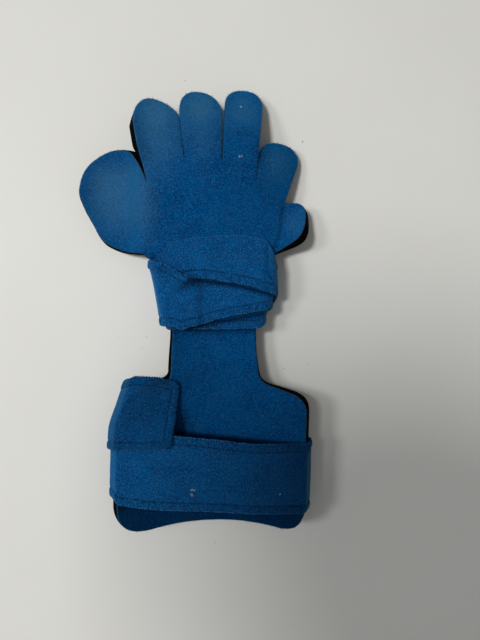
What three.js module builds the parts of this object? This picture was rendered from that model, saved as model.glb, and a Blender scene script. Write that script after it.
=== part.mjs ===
import * as THREE from "three";

// A resting hand splint lying face up on a table.
// The pad is black foam with a blue fabric face, cut to the outline of a hand and forearm.
// Two blue straps are wound round it, one at the wrist and one at the forearm.
// Millimetres: X across the hand, Y from the forearm to the fingertips, Z up from the table.

// Sizes that can each be set by themselves.
const FACE = 1.2; // blue fabric
const FOAM = 6.3; // black foam
const AIR = 0.3; // between pieces that touch
const STRAP = 2.0; // strap thickness
const STRAP_WIDTH = 50;
const SNUG = 0.4; // innermost strap layer to the pad
const HAND_LENGTH = 168; // wrist to the longest fingertip
const FOREARM_LENGTH = 153; // wrist to the forearm end
const HAND_WIDTH = 99; // across the palm, without the thumb
const NECK_WIDTH = 59;
const FOREARM_WIDTH = 131;
const ARCH = 17.6; // rise of the palm above the wrist
const TROUGH = 17; // depth of the forearm trough
const THUMB_REACH = 37; // from the thumb lobe's centre to the root of its lower edge
const THUMB_CUP = 10; // rise of the thumb lobe's outer rim
const SIDE_FOLD = 21; // rise of the folded side lobe
const INDEX_CURL = 4.8; // rise of the index finger's outer edge
const SLIT = 0.8; // width at the slit bottoms
const WRIST_SAG = 2.2;
const FOREARM_SAG = 4;

const PAD = FACE + AIR + FOAM;
const LAYER = STRAP + AIR; // one strap layer on the next
const underStrap = (layers) => SNUG + layers * LAYER - AIR;
const along = (share) => share * (share < 0 ? FOREARM_LENGTH : HAND_LENGTH);

// Cross-sections of the pad's upper surface, from the forearm end to the fingertips.
// y is a share of the forearm's or the hand's length from the wrist; layers is how many strap layers
// carry the pad there; lift is a share of the arch; the sides rise by shares of the trough's depth
// at a distance wide from mid, a share of the width named in the row.
const SECTIONS = [
  { y: -1.02, mid: 0, layers: 2, lift: 0.108, of: FOREARM_WIDTH, wide: 0.511,
    left: 0.882, leftBend: 3, right: 0.706, rightBend: 2.1 },
  { y: -0.85, mid: 0, layers: 2, lift: 0.062, of: FOREARM_WIDTH, wide: 0.511,
    left: 1, leftBend: 3.2, right: 0.824, rightBend: 2.1 },
  { y: -0.654, mid: 0, layers: 2, lift: 0.045, of: FOREARM_WIDTH, wide: 0.511,
    left: 1.059, leftBend: 3.2, right: 0.882, rightBend: 2.1 },
  { y: -0.458, mid: 0, layers: 2, lift: 0.068, of: FOREARM_WIDTH, wide: 0.504,
    left: 1, leftBend: 3, right: 0.853, rightBend: 2.1 },
  { y: -0.353, mid: 0, layers: 2, lift: 0.125, of: FOREARM_WIDTH, wide: 0.412,
    left: 0.765, leftBend: 2.6, right: 0.676, rightBend: 2 },
  { y: -0.248, mid: 0.01, layers: 3, lift: 0.045, of: NECK_WIDTH, wide: 0.576,
    left: 0.529, leftBend: 2.2, right: 0.24, rightBend: 2 },
  { y: -0.131, mid: 0.015, layers: 3, lift: 0.045, of: NECK_WIDTH, wide: 0.508,
    left: 0.412, leftBend: 2, right: 0.059, rightBend: 2 },
  { y: 0.012, mid: 0.015, layers: 3, lift: 0.023, of: NECK_WIDTH, wide: 0.542,
    left: 0.382, leftBend: 2, right: 0.147, rightBend: 2 },
  { y: 0.149, mid: 0.01, layers: 3, lift: 0.091, of: HAND_WIDTH, wide: 0.434,
    left: 0.353, leftBend: 2, right: 0.235, rightBend: 2 },
  { y: 0.286, mid: 0, layers: 3, lift: 0.273, of: HAND_WIDTH, wide: 0.465,
    left: 0.235, leftBend: 2, right: -0.059, rightBend: 2 },
  { y: 0.446, mid: -0.04, layers: 3, lift: 0.591, of: HAND_WIDTH, wide: 0.505,
    left: 0.059, leftBend: 2, right: -0.471, rightBend: 2 },
  { y: 0.583, mid: -0.071, layers: 3, lift: 0.875, of: HAND_WIDTH, wide: 0.525,
    left: -0.059, leftBend: 2, right: -0.647, rightBend: 2 },
  { y: 0.69, mid: -0.081, layers: 3, lift: 1, of: HAND_WIDTH, wide: 0.525,
    left: -0.118, leftBend: 2, right: -0.706, rightBend: 2 },
  { y: 0.798, mid: -0.081, layers: 3, lift: 0.784, of: HAND_WIDTH, wide: 0.525,
    left: -0.118, leftBend: 2, right: -0.647, rightBend: 2 },
  { y: 0.893, mid: -0.081, layers: 3, lift: 0.42, of: HAND_WIDTH, wide: 0.525,
    left: -0.118, leftBend: 2, right: -0.529, rightBend: 2 },
  { y: 1.012, mid: -0.081, layers: 3, lift: -0.08, of: HAND_WIDTH, wide: 0.525,
    left: -0.118, leftBend: 2, right: -0.412, rightBend: 2 },
];

// Corners of the forearm pad and the neck, from the thumb side down and up the other side.
const BODY = [
  { name: "wrist, thumb side", of: HAND_WIDTH, x: -0.375, y: 0.225, round: 0.04 },
  { name: "neck top, thumb side", of: NECK_WIDTH, x: -0.461, y: -0.026, round: 0.169 },
  { name: "neck foot, thumb side", of: NECK_WIDTH, x: -0.49, y: -0.288, round: 0.119 },
  { name: "shoulder, thumb side", of: FOREARM_WIDTH, x: -0.485, y: -0.356, round: 0.198 },
  { name: "end corner, thumb side", of: FOREARM_WIDTH, x: -0.501, y: -1.01, round: 0.183 },
  { name: "hollow of the end edge", of: FOREARM_WIDTH, x: 0.061, y: -0.922, round: 0.328 },
  { name: "end corner, little finger side", of: FOREARM_WIDTH, x: 0.485, y: -0.99, round: 0.137 },
  { name: "shoulder, little finger side", of: FOREARM_WIDTH, x: 0.507, y: -0.363, round: 0.092 },
  { name: "neck foot, little finger side", of: NECK_WIDTH, x: 0.563, y: -0.29, round: 0.136 },
  { name: "neck top, little finger side", of: NECK_WIDTH, x: 0.512, y: -0.033, round: 0.169 },
  { name: "wrist, little finger side", of: HAND_WIDTH, x: 0.372, y: 0.225, round: 0.04 },
];
const THUMB_NOTCH = { x: -0.4818 * HAND_WIDTH, y: 0.2786 * HAND_LENGTH };
const SIDE_NOTCH = { x: 0.4566 * HAND_WIDTH, y: 0.2869 * HAND_LENGTH };
const LITTLE_NOTCH = { x: 0.5293 * HAND_WIDTH, y: 0.5048 * HAND_LENGTH };

// Fingers from the little finger to the index finger, in shares of the hand's width and length.
// slitX, slitY is the bottom of the slit on the thumb side; the rounded cap has its own centre,
// and skew makes it fuller on the thumb side.
// lift raises the whole finger and tip its end, in shares of the arch; roll raises its thumb side.
const FINGERS = [
  { name: "little", slitX: 0.3242, slitY: 0.5952, capX: 0.491, capY: 0.6918, half: 0.1445,
    cap: 0.1305, lean: -12, skew: -0.08, lift: 0, roll: 0, tip: -0.25 },
  { name: "ring", slitX: 0.0778, slitY: 0.6548, capX: 0.2307, capY: 0.9232, half: 0.1375,
    cap: 0.1451, lean: 2.4, skew: 0.05, lift: 0.085, roll: -0.06, tip: -0.256 },
  { name: "middle", slitX: -0.1838, slitY: 0.6667, capX: -0.0737, capY: 0.8607, half: 0.151,
    cap: 0.2058, lean: 7.6, skew: 0.162, lift: 0.142, roll: 0.08, tip: -0.114 },
  { name: "index", slitX: -0.4566, slitY: 0.5774, capX: -0.389, capY: 0.8382, half: 0.1596,
    cap: 0.1796, lean: 2.3, skew: 0.4, lift: -0.028, roll: 0.1, tip: 0 },
];
const CAP_FULLNESS = 2.35;

// The thumb lobe: a cupped egg, its rim given by reach from the centre at each turn in degrees.
const THUMB = { x: -0.722, y: 0.512, lift: 0.136, west: 0.42, east: 0.9, south: 0.5, north: 0.7,
  wide: 0.649, tall: 1 };
const THUMB_RIM = [
  { turn: 25, reach: 0.768 },
  { turn: 56, reach: 0.859 },
  { turn: 75, reach: 0.984 },
  { turn: 97, reach: 0.941 },
  { turn: 128, reach: 0.832 },
  { turn: 160, reach: 0.71 },
  { turn: 188, reach: 0.592 },
  { turn: 223, reach: 0.584 },
  { turn: 249, reach: 0.741 },
  { turn: 264, reach: 0.849 },
  { turn: 285, reach: 1.022 },
];
const THUMB_ROOT = { x: -0.444, blend: 0.212 };

// The small side lobe by the little finger is folded up along a crease.
const SIDE_RIM = [
  { x: 0.601, y: 0.343 },
  { x: 0.6505, y: 0.3845 },
  { x: 0.6727, y: 0.43 },
  { x: 0.6737, y: 0.4786 },
  { x: 0.628, y: 0.5036 },
];
const CREASE = { x: 0.425, shift: 0.095, from: 0.3, over: 0.2, deep: 0.273 };
const CURL_EDGE = { x: -0.465, y: 0.583, slant: 0.235, reach: 0.131, fade: 0.155 };

const MESH = { edge: 4.3, inner: 7.6 };

const clamp = (v, low, high) => Math.min(high, Math.max(low, v));
const smooth = (t) => {
  const c = clamp(t, 0, 1);
  return c * c * (3 - 2 * c);
};

// Smooth value of one column of a table at a place along another column, without overshoot.
function column(rows, along, key, at) {
  const last = rows.length - 1;
  const a = clamp(at, rows[0][along], rows[last][along]);
  let i = 0;
  while (i < last - 1 && a > rows[i + 1][along]) i += 1;
  const step = (k) => (rows[k + 1][key] - rows[k][key]) / (rows[k + 1][along] - rows[k][along]);
  const slope = (k) => {
    if (k === 0) return step(0);
    if (k === last) return step(last - 1);
    const before = step(k - 1);
    const after = step(k);
    return before * after <= 0 ? 0 : (2 * before * after) / (before + after);
  };
  const span = rows[i + 1][along] - rows[i][along];
  const t = (a - rows[i][along]) / span;
  const t2 = t * t;
  const t3 = t2 * t;
  return (
    (2 * t3 - 3 * t2 + 1) * rows[i][key] +
    (t3 - 2 * t2 + t) * span * slope(i) +
    (3 * t2 - 2 * t3) * rows[i + 1][key] +
    (t3 - t2) * span * slope(i + 1)
  );
}

const sections = SECTIONS.map((row) => ({
  y: along(row.y),
  mid: row.mid * HAND_WIDTH,
  floor: PAD + underStrap(row.layers) + row.lift * ARCH,
  wide: row.wide * row.of,
  left: row.left * TROUGH,
  leftBend: row.leftBend,
  right: row.right * TROUGH,
  rightBend: row.rightBend,
}));
const fingers = FINGERS.map((row) => ({
  slitX: row.slitX * HAND_WIDTH,
  slitY: row.slitY * HAND_LENGTH,
  capX: row.capX * HAND_WIDTH,
  capY: row.capY * HAND_LENGTH,
  half: row.half * HAND_WIDTH,
  cap: row.cap * HAND_WIDTH,
  skew: row.skew,
  lean: THREE.MathUtils.degToRad(row.lean),
  lift: row.lift * ARCH,
  roll: row.roll,
  tip: row.tip * ARCH,
}));
const thumb = { x: THUMB.x * HAND_WIDTH, y: THUMB.y * HAND_LENGTH };

// Outline of the pad, counter-clockwise, in runs between its sharp corners.
function roundedRun(start, corners, end) {
  const path = new THREE.Path();
  path.moveTo(start.x, start.y);
  corners.forEach((corner, i) => {
    const before = i === 0 ? start : corners[i - 1];
    const after = i === corners.length - 1 ? end : corners[i + 1];
    const back = Math.hypot(before.x - corner.x, before.y - corner.y);
    const ahead = Math.hypot(after.x - corner.x, after.y - corner.y);
    path.lineTo(
      corner.x + ((before.x - corner.x) * corner.round) / back,
      corner.y + ((before.y - corner.y) * corner.round) / back,
    );
    path.quadraticCurveTo(
      corner.x,
      corner.y,
      corner.x + ((after.x - corner.x) * corner.round) / ahead,
      corner.y + ((after.y - corner.y) * corner.round) / ahead,
    );
  });
  path.lineTo(end.x, end.y);
  return path;
}

function splineRun(points) {
  const path = new THREE.Path();
  path.moveTo(points[0].x, points[0].y);
  path.splineThru(points.slice(1).map((p) => new THREE.Vector2(p.x, p.y)));
  return path;
}

function fingerRun(finger, from) {
  const path = new THREE.Path();
  const { lean } = finger;
  const squeeze = (v) => Math.sign(v) * Math.abs(v) ** (2 / CAP_FULLNESS);
  path.moveTo(from.x, from.y);
  for (let i = 0; i <= 16; i += 1) {
    const turn = (Math.PI * i) / 16;
    const share = squeeze(Math.cos(turn));
    const across = finger.half * share;
    const up = finger.cap * squeeze(Math.sin(turn)) * (1 - finger.skew * share);
    path.lineTo(
      finger.capX + across * Math.cos(lean) - up * Math.sin(lean),
      finger.capY + across * Math.sin(lean) + up * Math.cos(lean),
    );
  }
  path.lineTo(finger.slitX + SLIT / 2, finger.slitY);
  return path;
}

function outline() {
  const corners = BODY.map((row) => ({
    x: row.x * row.of,
    y: along(row.y),
    round: row.round * row.of,
  }));
  const runs = [roundedRun(THUMB_NOTCH, corners, SIDE_NOTCH)];
  const side = SIDE_RIM.map((row) => ({ x: row.x * HAND_WIDTH, y: row.y * HAND_LENGTH }));
  runs.push(splineRun([SIDE_NOTCH, ...side, LITTLE_NOTCH]));
  let from = LITTLE_NOTCH;
  for (const finger of fingers) {
    runs.push(fingerRun(finger, from));
    from = { x: finger.slitX - SLIT / 2, y: finger.slitY };
  }
  const rim = THUMB_RIM.map(({ turn, reach }) => ({
    x: thumb.x + reach * THUMB_REACH * Math.cos(THREE.MathUtils.degToRad(turn)),
    y: thumb.y + reach * THUMB_REACH * Math.sin(THREE.MathUtils.degToRad(turn)),
  }));
  runs.push(splineRun([from, ...rim, THUMB_NOTCH]));
  const points = [];
  for (const run of runs) {
    const pieces = Math.max(3, Math.round(run.getLength() / MESH.edge));
    for (const p of run.getSpacedPoints(pieces)) {
      const end = points[points.length - 1];
      if (!end || end.distanceTo(p) > 0.2) points.push(p);
    }
  }
  if (points[0].distanceTo(points[points.length - 1]) < 0.2) points.pop();
  return points;
}

// Height of the pad's upper surface. Each slit parts two fingers, which then lie at their own heights.
function lobeOf(x, y) {
  for (let i = 0; i < fingers.length; i += 1) {
    const finger = fingers[i];
    const next = fingers[i + 1];
    let slit = -Infinity;
    if (next) {
      const meet = (finger.capX - finger.half + next.capX + next.half) / 2;
      const top = (finger.capY + next.capY) / 2;
      const t = clamp((y - finger.slitY) / (top - finger.slitY), 0, 1.6);
      slit = finger.slitX + (meet - finger.slitX) * t;
    } else if (y > finger.slitY) {
      slit = finger.slitX - (y - finger.slitY) * CURL_EDGE.slant;
    }
    if (x > slit) return i;
  }
  return fingers.length;
}

function fingerRise(x, y, lobe) {
  const finger = fingers[lobe];
  const right = lobe === 0 ? { slitX: LITTLE_NOTCH.x, slitY: LITTLE_NOTCH.y } : fingers[lobe - 1];
  const share = clamp((x - finger.slitX) / (right.slitX - finger.slitX), 0, 1);
  const root = finger.slitY + (right.slitY - finger.slitY) * share;
  const top = finger.capY + finger.cap;
  const run = (y - root) / (top - root);
  if (run <= 0) return 0;
  const axis = (finger.slitX + right.slitX) / 2;
  const centre = axis + (finger.capX - axis) * clamp(run, 0, 1);
  const ease = smooth(run * 1.9);
  return ease * (finger.lift - finger.roll * (x - centre)) + finger.tip * run * run;
}

function sectionHeight(x, y) {
  const row = (key) => column(sections, "y", key, y);
  const d = x - row("mid");
  const side = d < 0 ? ["left", "leftBend"] : ["right", "rightBend"];
  return row("floor") + row(side[0]) * (Math.abs(d) / row("wide")) ** row(side[1]);
}

function indexCurl(x, y) {
  const start = CURL_EDGE.y * HAND_LENGTH;
  const edge = CURL_EDGE.x * HAND_WIDTH - CURL_EDGE.slant * (y - start);
  const near = clamp(1 - (x - edge) / (CURL_EDGE.reach * HAND_WIDTH), 0, 1.1);
  return INDEX_CURL * near * near * smooth((y - start) / (CURL_EDGE.fade * HAND_LENGTH));
}

function thumbCup(x, y) {
  const u = (x - thumb.x) / (THUMB.wide * THUMB_REACH);
  const v = (y - thumb.y) / (THUMB.tall * THUMB_REACH);
  const rise = (u < 0 ? THUMB.west : THUMB.east) * u * u + (v < 0 ? THUMB.south : THUMB.north) * v * v;
  return PAD + THUMB.lift * ARCH + THUMB_CUP * rise;
}

function sideFold(x, y) {
  const bend = smooth((y - CREASE.from * HAND_LENGTH) / (CREASE.over * HAND_LENGTH));
  const line = (CREASE.x + CREASE.shift * bend) * HAND_WIDTH;
  const d = Math.max(0, x - line) / (CREASE.deep * HAND_WIDTH);
  return SIDE_FOLD * d * d;
}

function height(x, y) {
  let z = sectionHeight(x, y);
  const lobe = lobeOf(x, y);
  if (lobe < fingers.length) z += fingerRise(x, y, lobe);
  if (lobe === fingers.length - 1) z += indexCurl(x, y);
  const inThumb = smooth((THUMB_ROOT.x * HAND_WIDTH - x) / (THUMB_ROOT.blend * HAND_WIDTH));
  const index = fingers[fingers.length - 1];
  const thumbSide = y > THUMB_NOTCH.y * 0.87 && (lobe === fingers.length || y < index.slitY);
  if (inThumb > 0 && thumbSide) z += (thumbCup(x, y) - z) * inThumb;
  if (y > SIDE_NOTCH.y * 0.92 && y < LITTLE_NOTCH.y + SLIT) z += sideFold(x, y);
  return z;
}

// Triangles inside an outline: its ears, then a lattice of inner points, with long edges flipped.
function inside(x, y, loop) {
  let odd = false;
  for (let i = 0, j = loop.length - 1; i < loop.length; j = i, i += 1) {
    const a = loop[i];
    const b = loop[j];
    if (a.y > y !== b.y > y && x < ((b.x - a.x) * (y - a.y)) / (b.y - a.y) + a.x) odd = !odd;
  }
  return odd;
}

function distanceTo(x, y, loop) {
  let best = Infinity;
  for (let i = 0, j = loop.length - 1; i < loop.length; j = i, i += 1) {
    const a = loop[i];
    const b = loop[j];
    const lx = b.x - a.x;
    const ly = b.y - a.y;
    const t = clamp(((x - a.x) * lx + (y - a.y) * ly) / (lx * lx + ly * ly), 0, 1);
    best = Math.min(best, Math.hypot(x - a.x - lx * t, y - a.y - ly * t));
  }
  return best;
}

function lattice(loop) {
  const box = new THREE.Box2().setFromPoints(loop);
  const points = [];
  const rise = MESH.inner * 0.866;
  let odd = false;
  for (let y = box.min.y; y < box.max.y; y += rise) {
    odd = !odd;
    for (let x = box.min.x + (odd ? MESH.inner / 2 : 0); x < box.max.x; x += MESH.inner) {
      if (inside(x, y, loop) && distanceTo(x, y, loop) > MESH.edge * 0.72) {
        points.push(new THREE.Vector2(x, y));
      }
    }
  }
  return points;
}

function triangulate(loop) {
  const points = [...loop];
  const triangles = THREE.ShapeUtils.triangulateShape(loop, []).map((t) => [...t]);
  const owner = new Map();
  const key = (a, b) => a * 100000 + b;
  const cross = (a, b, c) =>
    (points[b].x - points[a].x) * (points[c].y - points[a].y) -
    (points[b].y - points[a].y) * (points[c].x - points[a].x);
  const claim = (t) => {
    const [a, b, c] = triangles[t];
    owner.set(key(a, b), t);
    owner.set(key(b, c), t);
    owner.set(key(c, a), t);
  };
  triangles.forEach((t, i) => {
    if (cross(t[0], t[1], t[2]) < 0) t.reverse();
    claim(i);
  });
  const inCircle = (a, b, c, d) => {
    const rows = [a, b, c].map((i) => {
      const x = points[i].x - points[d].x;
      const y = points[i].y - points[d].y;
      return [x, y, x * x + y * y];
    });
    const [p, q, r] = rows;
    return (
      p[0] * (q[1] * r[2] - q[2] * r[1]) -
        p[1] * (q[0] * r[2] - q[2] * r[0]) +
        p[2] * (q[0] * r[1] - q[1] * r[0]) >
      1e-7
    );
  };
  const third = (t, a, b) => triangles[t].find((v) => v !== a && v !== b);
  const settle = (queue) => {
    while (queue.length) {
      const [a, b] = queue.pop();
      const t = owner.get(key(a, b));
      const s = owner.get(key(b, a));
      if (t === undefined || s === undefined) continue;
      const c = third(t, a, b);
      const d = third(s, a, b);
      if (!inCircle(a, b, c, d)) continue;
      if (cross(a, d, c) <= 1e-9 || cross(d, b, c) <= 1e-9) continue;
      owner.delete(key(a, b));
      owner.delete(key(b, a));
      triangles[t] = [a, d, c];
      triangles[s] = [d, b, c];
      claim(t);
      claim(s);
      queue.push([a, d], [d, b], [b, c], [c, a]);
    }
  };
  settle([...owner.keys()].map((k) => [Math.floor(k / 100000), k % 100000]));
  for (const p of lattice(loop)) {
    const n = points.push(p) - 1;
    const t = triangles.findIndex(
      ([a, b, c]) => cross(a, b, n) > 0 && cross(b, c, n) > 0 && cross(c, a, n) > 0,
    );
    if (t < 0) {
      points.pop();
      continue;
    }
    const [a, b, c] = triangles[t];
    triangles[t] = [a, b, n];
    claim(t);
    triangles.push([b, c, n]);
    claim(triangles.length - 1);
    triangles.push([c, a, n]);
    claim(triangles.length - 1);
    settle([
      [a, b],
      [b, c],
      [c, a],
    ]);
  }
  return { points, triangles };
}

// A closed layer of the pad between two depths below its upper surface.
function surface(loop) {
  const { points, triangles } = triangulate(loop);
  const top = points.map((p) => new THREE.Vector3(p.x, p.y, height(p.x, p.y)));
  const normals = top.map(() => new THREE.Vector3());
  for (const [a, b, c] of triangles) {
    const n = new THREE.Vector3()
      .subVectors(top[b], top[a])
      .cross(new THREE.Vector3().subVectors(top[c], top[a]));
    for (const i of [a, b, c]) normals[i].add(n);
  }
  normals.forEach((n) => n.normalize());
  return { top, normals, triangles, rim: loop.length };
}

function padLayer(base, from, to) {
  const at = (depth) => base.top.map((p, i) => p.clone().addScaledVector(base.normals[i], -depth));
  const vertices = [...at(from), ...at(to)];
  const n = base.top.length;
  const faces = [];
  for (const [a, b, c] of base.triangles) {
    faces.push([a, b, c]);
    faces.push([c + n, b + n, a + n]);
  }
  for (let i = 0; i < base.rim; i += 1) {
    const j = (i + 1) % base.rim;
    faces.push([i, i + n, j + n]);
    faces.push([i, j + n, j]);
  }
  return geometryOf(vertices, faces);
}

function geometryOf(vertices, faces) {
  const geometry = new THREE.BufferGeometry();
  geometry.setAttribute(
    "position",
    new THREE.Float32BufferAttribute(vertices.flatMap((v) => [v.x, v.y, v.z]), 3),
  );
  geometry.setIndex(faces.flat());
  geometry.computeVertexNormals();
  return geometry;
}

// A strap is wound on the taut outline round the pad, worked out at each place along it.
// A turn of four counts: 0 over the middle, 1 round the little finger side, 2 under, 3 thumb side.
const WINDING = { length: 7, turn: 0.42 };

function rims(loop, y, mid) {
  let left = -Infinity;
  let right = Infinity;
  for (let i = 0, j = loop.length - 1; i < loop.length; j = i, i += 1) {
    const a = loop[i];
    const b = loop[j];
    if (a.y > y === b.y > y) continue;
    const x = ((b.x - a.x) * (y - a.y)) / (b.y - a.y) + a.x;
    if (x < mid) left = Math.max(left, x);
    else right = Math.min(right, x);
  }
  return { left, right };
}

function tautLoop(loop, y, mid, rests) {
  const { left, right } = rims(loop, y, mid);
  const points = [...rests];
  for (let i = 0; i <= 40; i += 1) {
    const x = left + ((right - left) * i) / 40;
    const z = height(x, y);
    const slope = (height(x + 0.4, y) - height(x - 0.4, y)) / 0.8;
    const size = Math.hypot(1, slope);
    points.push({ x, z });
    points.push({ x: x + (slope / size) * PAD, z: z - PAD / size });
  }
  points.sort((p, q) => p.x - q.x || p.z - q.z);
  const turnOf = (o, a, b) => (a.x - o.x) * (b.z - o.z) - (a.z - o.z) * (b.x - o.x);
  const half = (list) => {
    const chain = [];
    for (const p of list) {
      while (chain.length > 1 && turnOf(chain[chain.length - 2], chain[chain.length - 1], p) <= 1e-9) {
        chain.pop();
      }
      chain.push(p);
    }
    chain.pop();
    return chain;
  };
  const under = half(points);
  const over = half([...points].reverse());
  // Clockwise seen along +Y, starting on the thumb side: over the top, then back underneath.
  const hull = [...under, ...over].reverse();
  const samples = [];
  const angle = (a, b) => Math.atan2(b.x - a.x, -(b.z - a.z));
  for (let i = 0; i < hull.length; i += 1) {
    const before = hull[(i + hull.length - 1) % hull.length];
    const p = hull[i];
    const after = hull[(i + 1) % hull.length];
    const first = angle(before, p);
    let second = angle(p, after);
    while (second > first + 1e-9) second -= 2 * Math.PI;
    const steps = Math.max(1, Math.ceil((first - second) / 0.12));
    for (let k = 0; k <= steps; k += 1) {
      const a = first + ((second - first) * k) / steps;
      samples.push({ x: p.x, z: p.z, nx: Math.cos(a), nz: Math.sin(a) });
    }
  }
  return landmarks(samples, mid);
}

// Splits the loop at its four landmarks and measures each quarter by its length and its bend.
function landmarks(samples, mid) {
  const dense = [];
  samples.forEach((a, i) => {
    const b = samples[(i + 1) % samples.length];
    const parts = Math.max(1, Math.ceil(Math.hypot(b.x - a.x, b.z - a.z) / 1.5));
    for (let k = 0; k < parts; k += 1) {
      const t = k / parts;
      dense.push({ x: a.x + (b.x - a.x) * t, z: a.z + (b.z - a.z) * t, nx: a.nx, nz: a.nz });
    }
  });
  const pick = (score) => dense.reduce((k, s, i) => (score(s) > score(dense[k]) ? i : k), 0);
  const marks = [
    pick((s) => (s.nz > 0.5 ? -Math.abs(s.x - mid) : -1e6)),
    pick((s) => s.nx + s.x * 1e-4),
    pick((s) => (s.nz < -0.5 ? -Math.abs(s.x - mid) : -1e6)),
    pick((s) => -s.nx - s.x * 1e-4),
  ];
  return marks.map((start, q) => {
    const end = marks[(q + 1) % 4];
    const list = [{ ...dense[start], sum: 0 }];
    for (let i = (start + 1) % dense.length; ; i = (i + 1) % dense.length) {
      const s = dense[i];
      const p = list[list.length - 1];
      const bend = Math.acos(clamp(s.nx * p.nx + s.nz * p.nz, -1, 1));
      const length = Math.hypot(s.x - p.x, s.z - p.z);
      list.push({ ...s, sum: p.sum + length / WINDING.length + bend / WINDING.turn });
      if (i === end) break;
    }
    return { list, sum: list[list.length - 1].sum };
  });
}

function loopPoint(quarters, q) {
  const turn = ((q % 4) + 4) % 4;
  const quarter = quarters[Math.floor(turn)];
  const want = (turn - Math.floor(turn)) * quarter.sum;
  const list = quarter.list;
  let i = 1;
  while (i < list.length - 1 && list[i].sum < want) i += 1;
  const a = list[i - 1];
  const b = list[i];
  const t = b.sum > a.sum ? clamp((want - a.sum) / (b.sum - a.sum), 0, 1) : 0;
  const nx = a.nx + (b.nx - a.nx) * t;
  const nz = a.nz + (b.nz - a.nz) * t;
  const size = Math.hypot(nx, nz);
  return { x: a.x + (b.x - a.x) * t, z: a.z + (b.z - a.z) * t, nx: nx / size, nz: nz / size };
}

// Rows of a strap: q counts turns round the loop, and x, a share of the width, places a row on the
// front of turn q. edge is one edge of the strap, a share of the length from the wrist, and width is
// the share of the strap's width that shows there, above the edge or, where negative, below it.
// layer is how many strap layers lie under it. The wrist strap is bunched, so its width changes.
const WRIST = [
  { q: 2.55, edge: 0.222, width: -0.88, layer: 0 },
  { q: 3, edge: 0.222, width: -0.88, layer: 0 },
  { q: 4, x: -0.303, edge: 0.2202, width: -0.87, layer: 0 },
  { q: 4, x: 0.01, edge: 0.2143, width: -0.856, layer: 0 },
  { q: 4, x: 0.323, edge: 0.2143, width: -0.84, layer: 0 },
  { q: 5, edge: 0.2202, width: -0.81, layer: 0 },
  { q: 5.5, edge: 0.222, width: -0.85, layer: 0 },
  { q: 6.4, edge: 0.23, width: -0.85, layer: 1 },
  { q: 7, edge: 0.232, width: -0.7, layer: 1 },
  { q: 8, x: -0.36, edge: 0.0893, width: 0.64, layer: 1 },
  { q: 8, x: -0.303, edge: 0.1726, width: 0.528, layer: 1 },
  { q: 8, x: -0.242, edge: 0.219, width: 0.396, layer: 1 },
  { q: 8, x: -0.167, edge: 0.1893, width: 0.52, layer: 1.5 },
  { q: 8, x: -0.091, edge: 0.1786, width: 0.576, layer: 2 },
  { q: 8, x: 0.115, edge: 0.1595, width: 0.672, layer: 2 },
  { q: 8, x: 0.283, edge: 0.1399, width: 0.718, layer: 2 },
  { q: 8, x: 0.36, edge: 0.1214, width: 0.74, layer: 2 },
  { q: 9, edge: 0.0952, width: 0.52, layer: 2 },
  { q: 9.6, edge: 0.245, width: -0.8, layer: 2 },
  { q: 10, edge: 0.245, width: -0.9, layer: 2 },
  { q: 10.6, edge: 0.245, width: -0.93, layer: 2 },
  { q: 11, edge: 0.247, width: -0.91, layer: 2 },
  { q: 12, x: -0.36, edge: 0.2262, width: -0.868, layer: 2 },
  { q: 12, x: -0.253, edge: 0.2083, width: -0.84, layer: 2 },
  { q: 12, x: -0.167, edge: 0.1845, width: -0.72, layer: 1.5 },
  { q: 12, x: -0.091, edge: 0.1738, width: -0.636, layer: 1 },
  { q: 12, x: 0.01, edge: 0.1845, width: -0.632, layer: 1 },
  { q: 12, x: 0.115, edge: 0.1964, width: -0.618, layer: 1 },
  { q: 12, x: 0.279, edge: 0.2083, width: -0.606, layer: 1 },
  { q: 12, x: 0.36, edge: 0.2083, width: -0.572, layer: 1 },
  { q: 13, edge: 0.2083, width: -0.54, layer: 1 },
  { q: 13.4, edge: 0.2143, width: -0.6, layer: 1 },
];
const FOREARM = [
  { q: 2.45, edge: -0.8889, width: 1, layer: 0 },
  { q: 3, edge: -0.8072, width: 0.93, layer: 0 },
  { q: 4, x: -0.382, edge: -0.8529, width: 1.05, layer: 0 },
  { q: 4, x: -0.214, edge: -0.8706, width: 1.056, layer: 0 },
  { q: 4, x: 0, edge: -0.8824, width: 1.028, layer: 0 },
  { q: 4, x: 0.244, edge: -0.8889, width: 0.992, layer: 0 },
  { q: 4, x: 0.427, edge: -0.885, width: 0.998, layer: 0 },
  { q: 5, edge: -0.8758, width: 0.98, layer: 0 },
  { q: 5.5, edge: -0.5229, width: -0.97, layer: 1 },
  { q: 6, edge: -0.4248, width: -0.98, layer: 1 },
  { q: 6.4, edge: -0.3529, width: -0.98, layer: 1 },
  { q: 7, edge: -0.2843, width: -0.95, layer: 1 },
  { q: 8, x: -0.443, edge: -0.2536, width: -1.024, layer: 1 },
  { q: 8, x: -0.351, edge: -0.2601, width: -1.01, layer: 1 },
  { q: 8, x: -0.267, edge: -0.2784, width: -0.948, layer: 1 },
  { q: 8, x: -0.229, edge: -0.2889, width: -0.888, layer: 1 },
  { q: 8, x: -0.203, edge: -0.3137, width: -0.72, layer: 1 },
];

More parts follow.
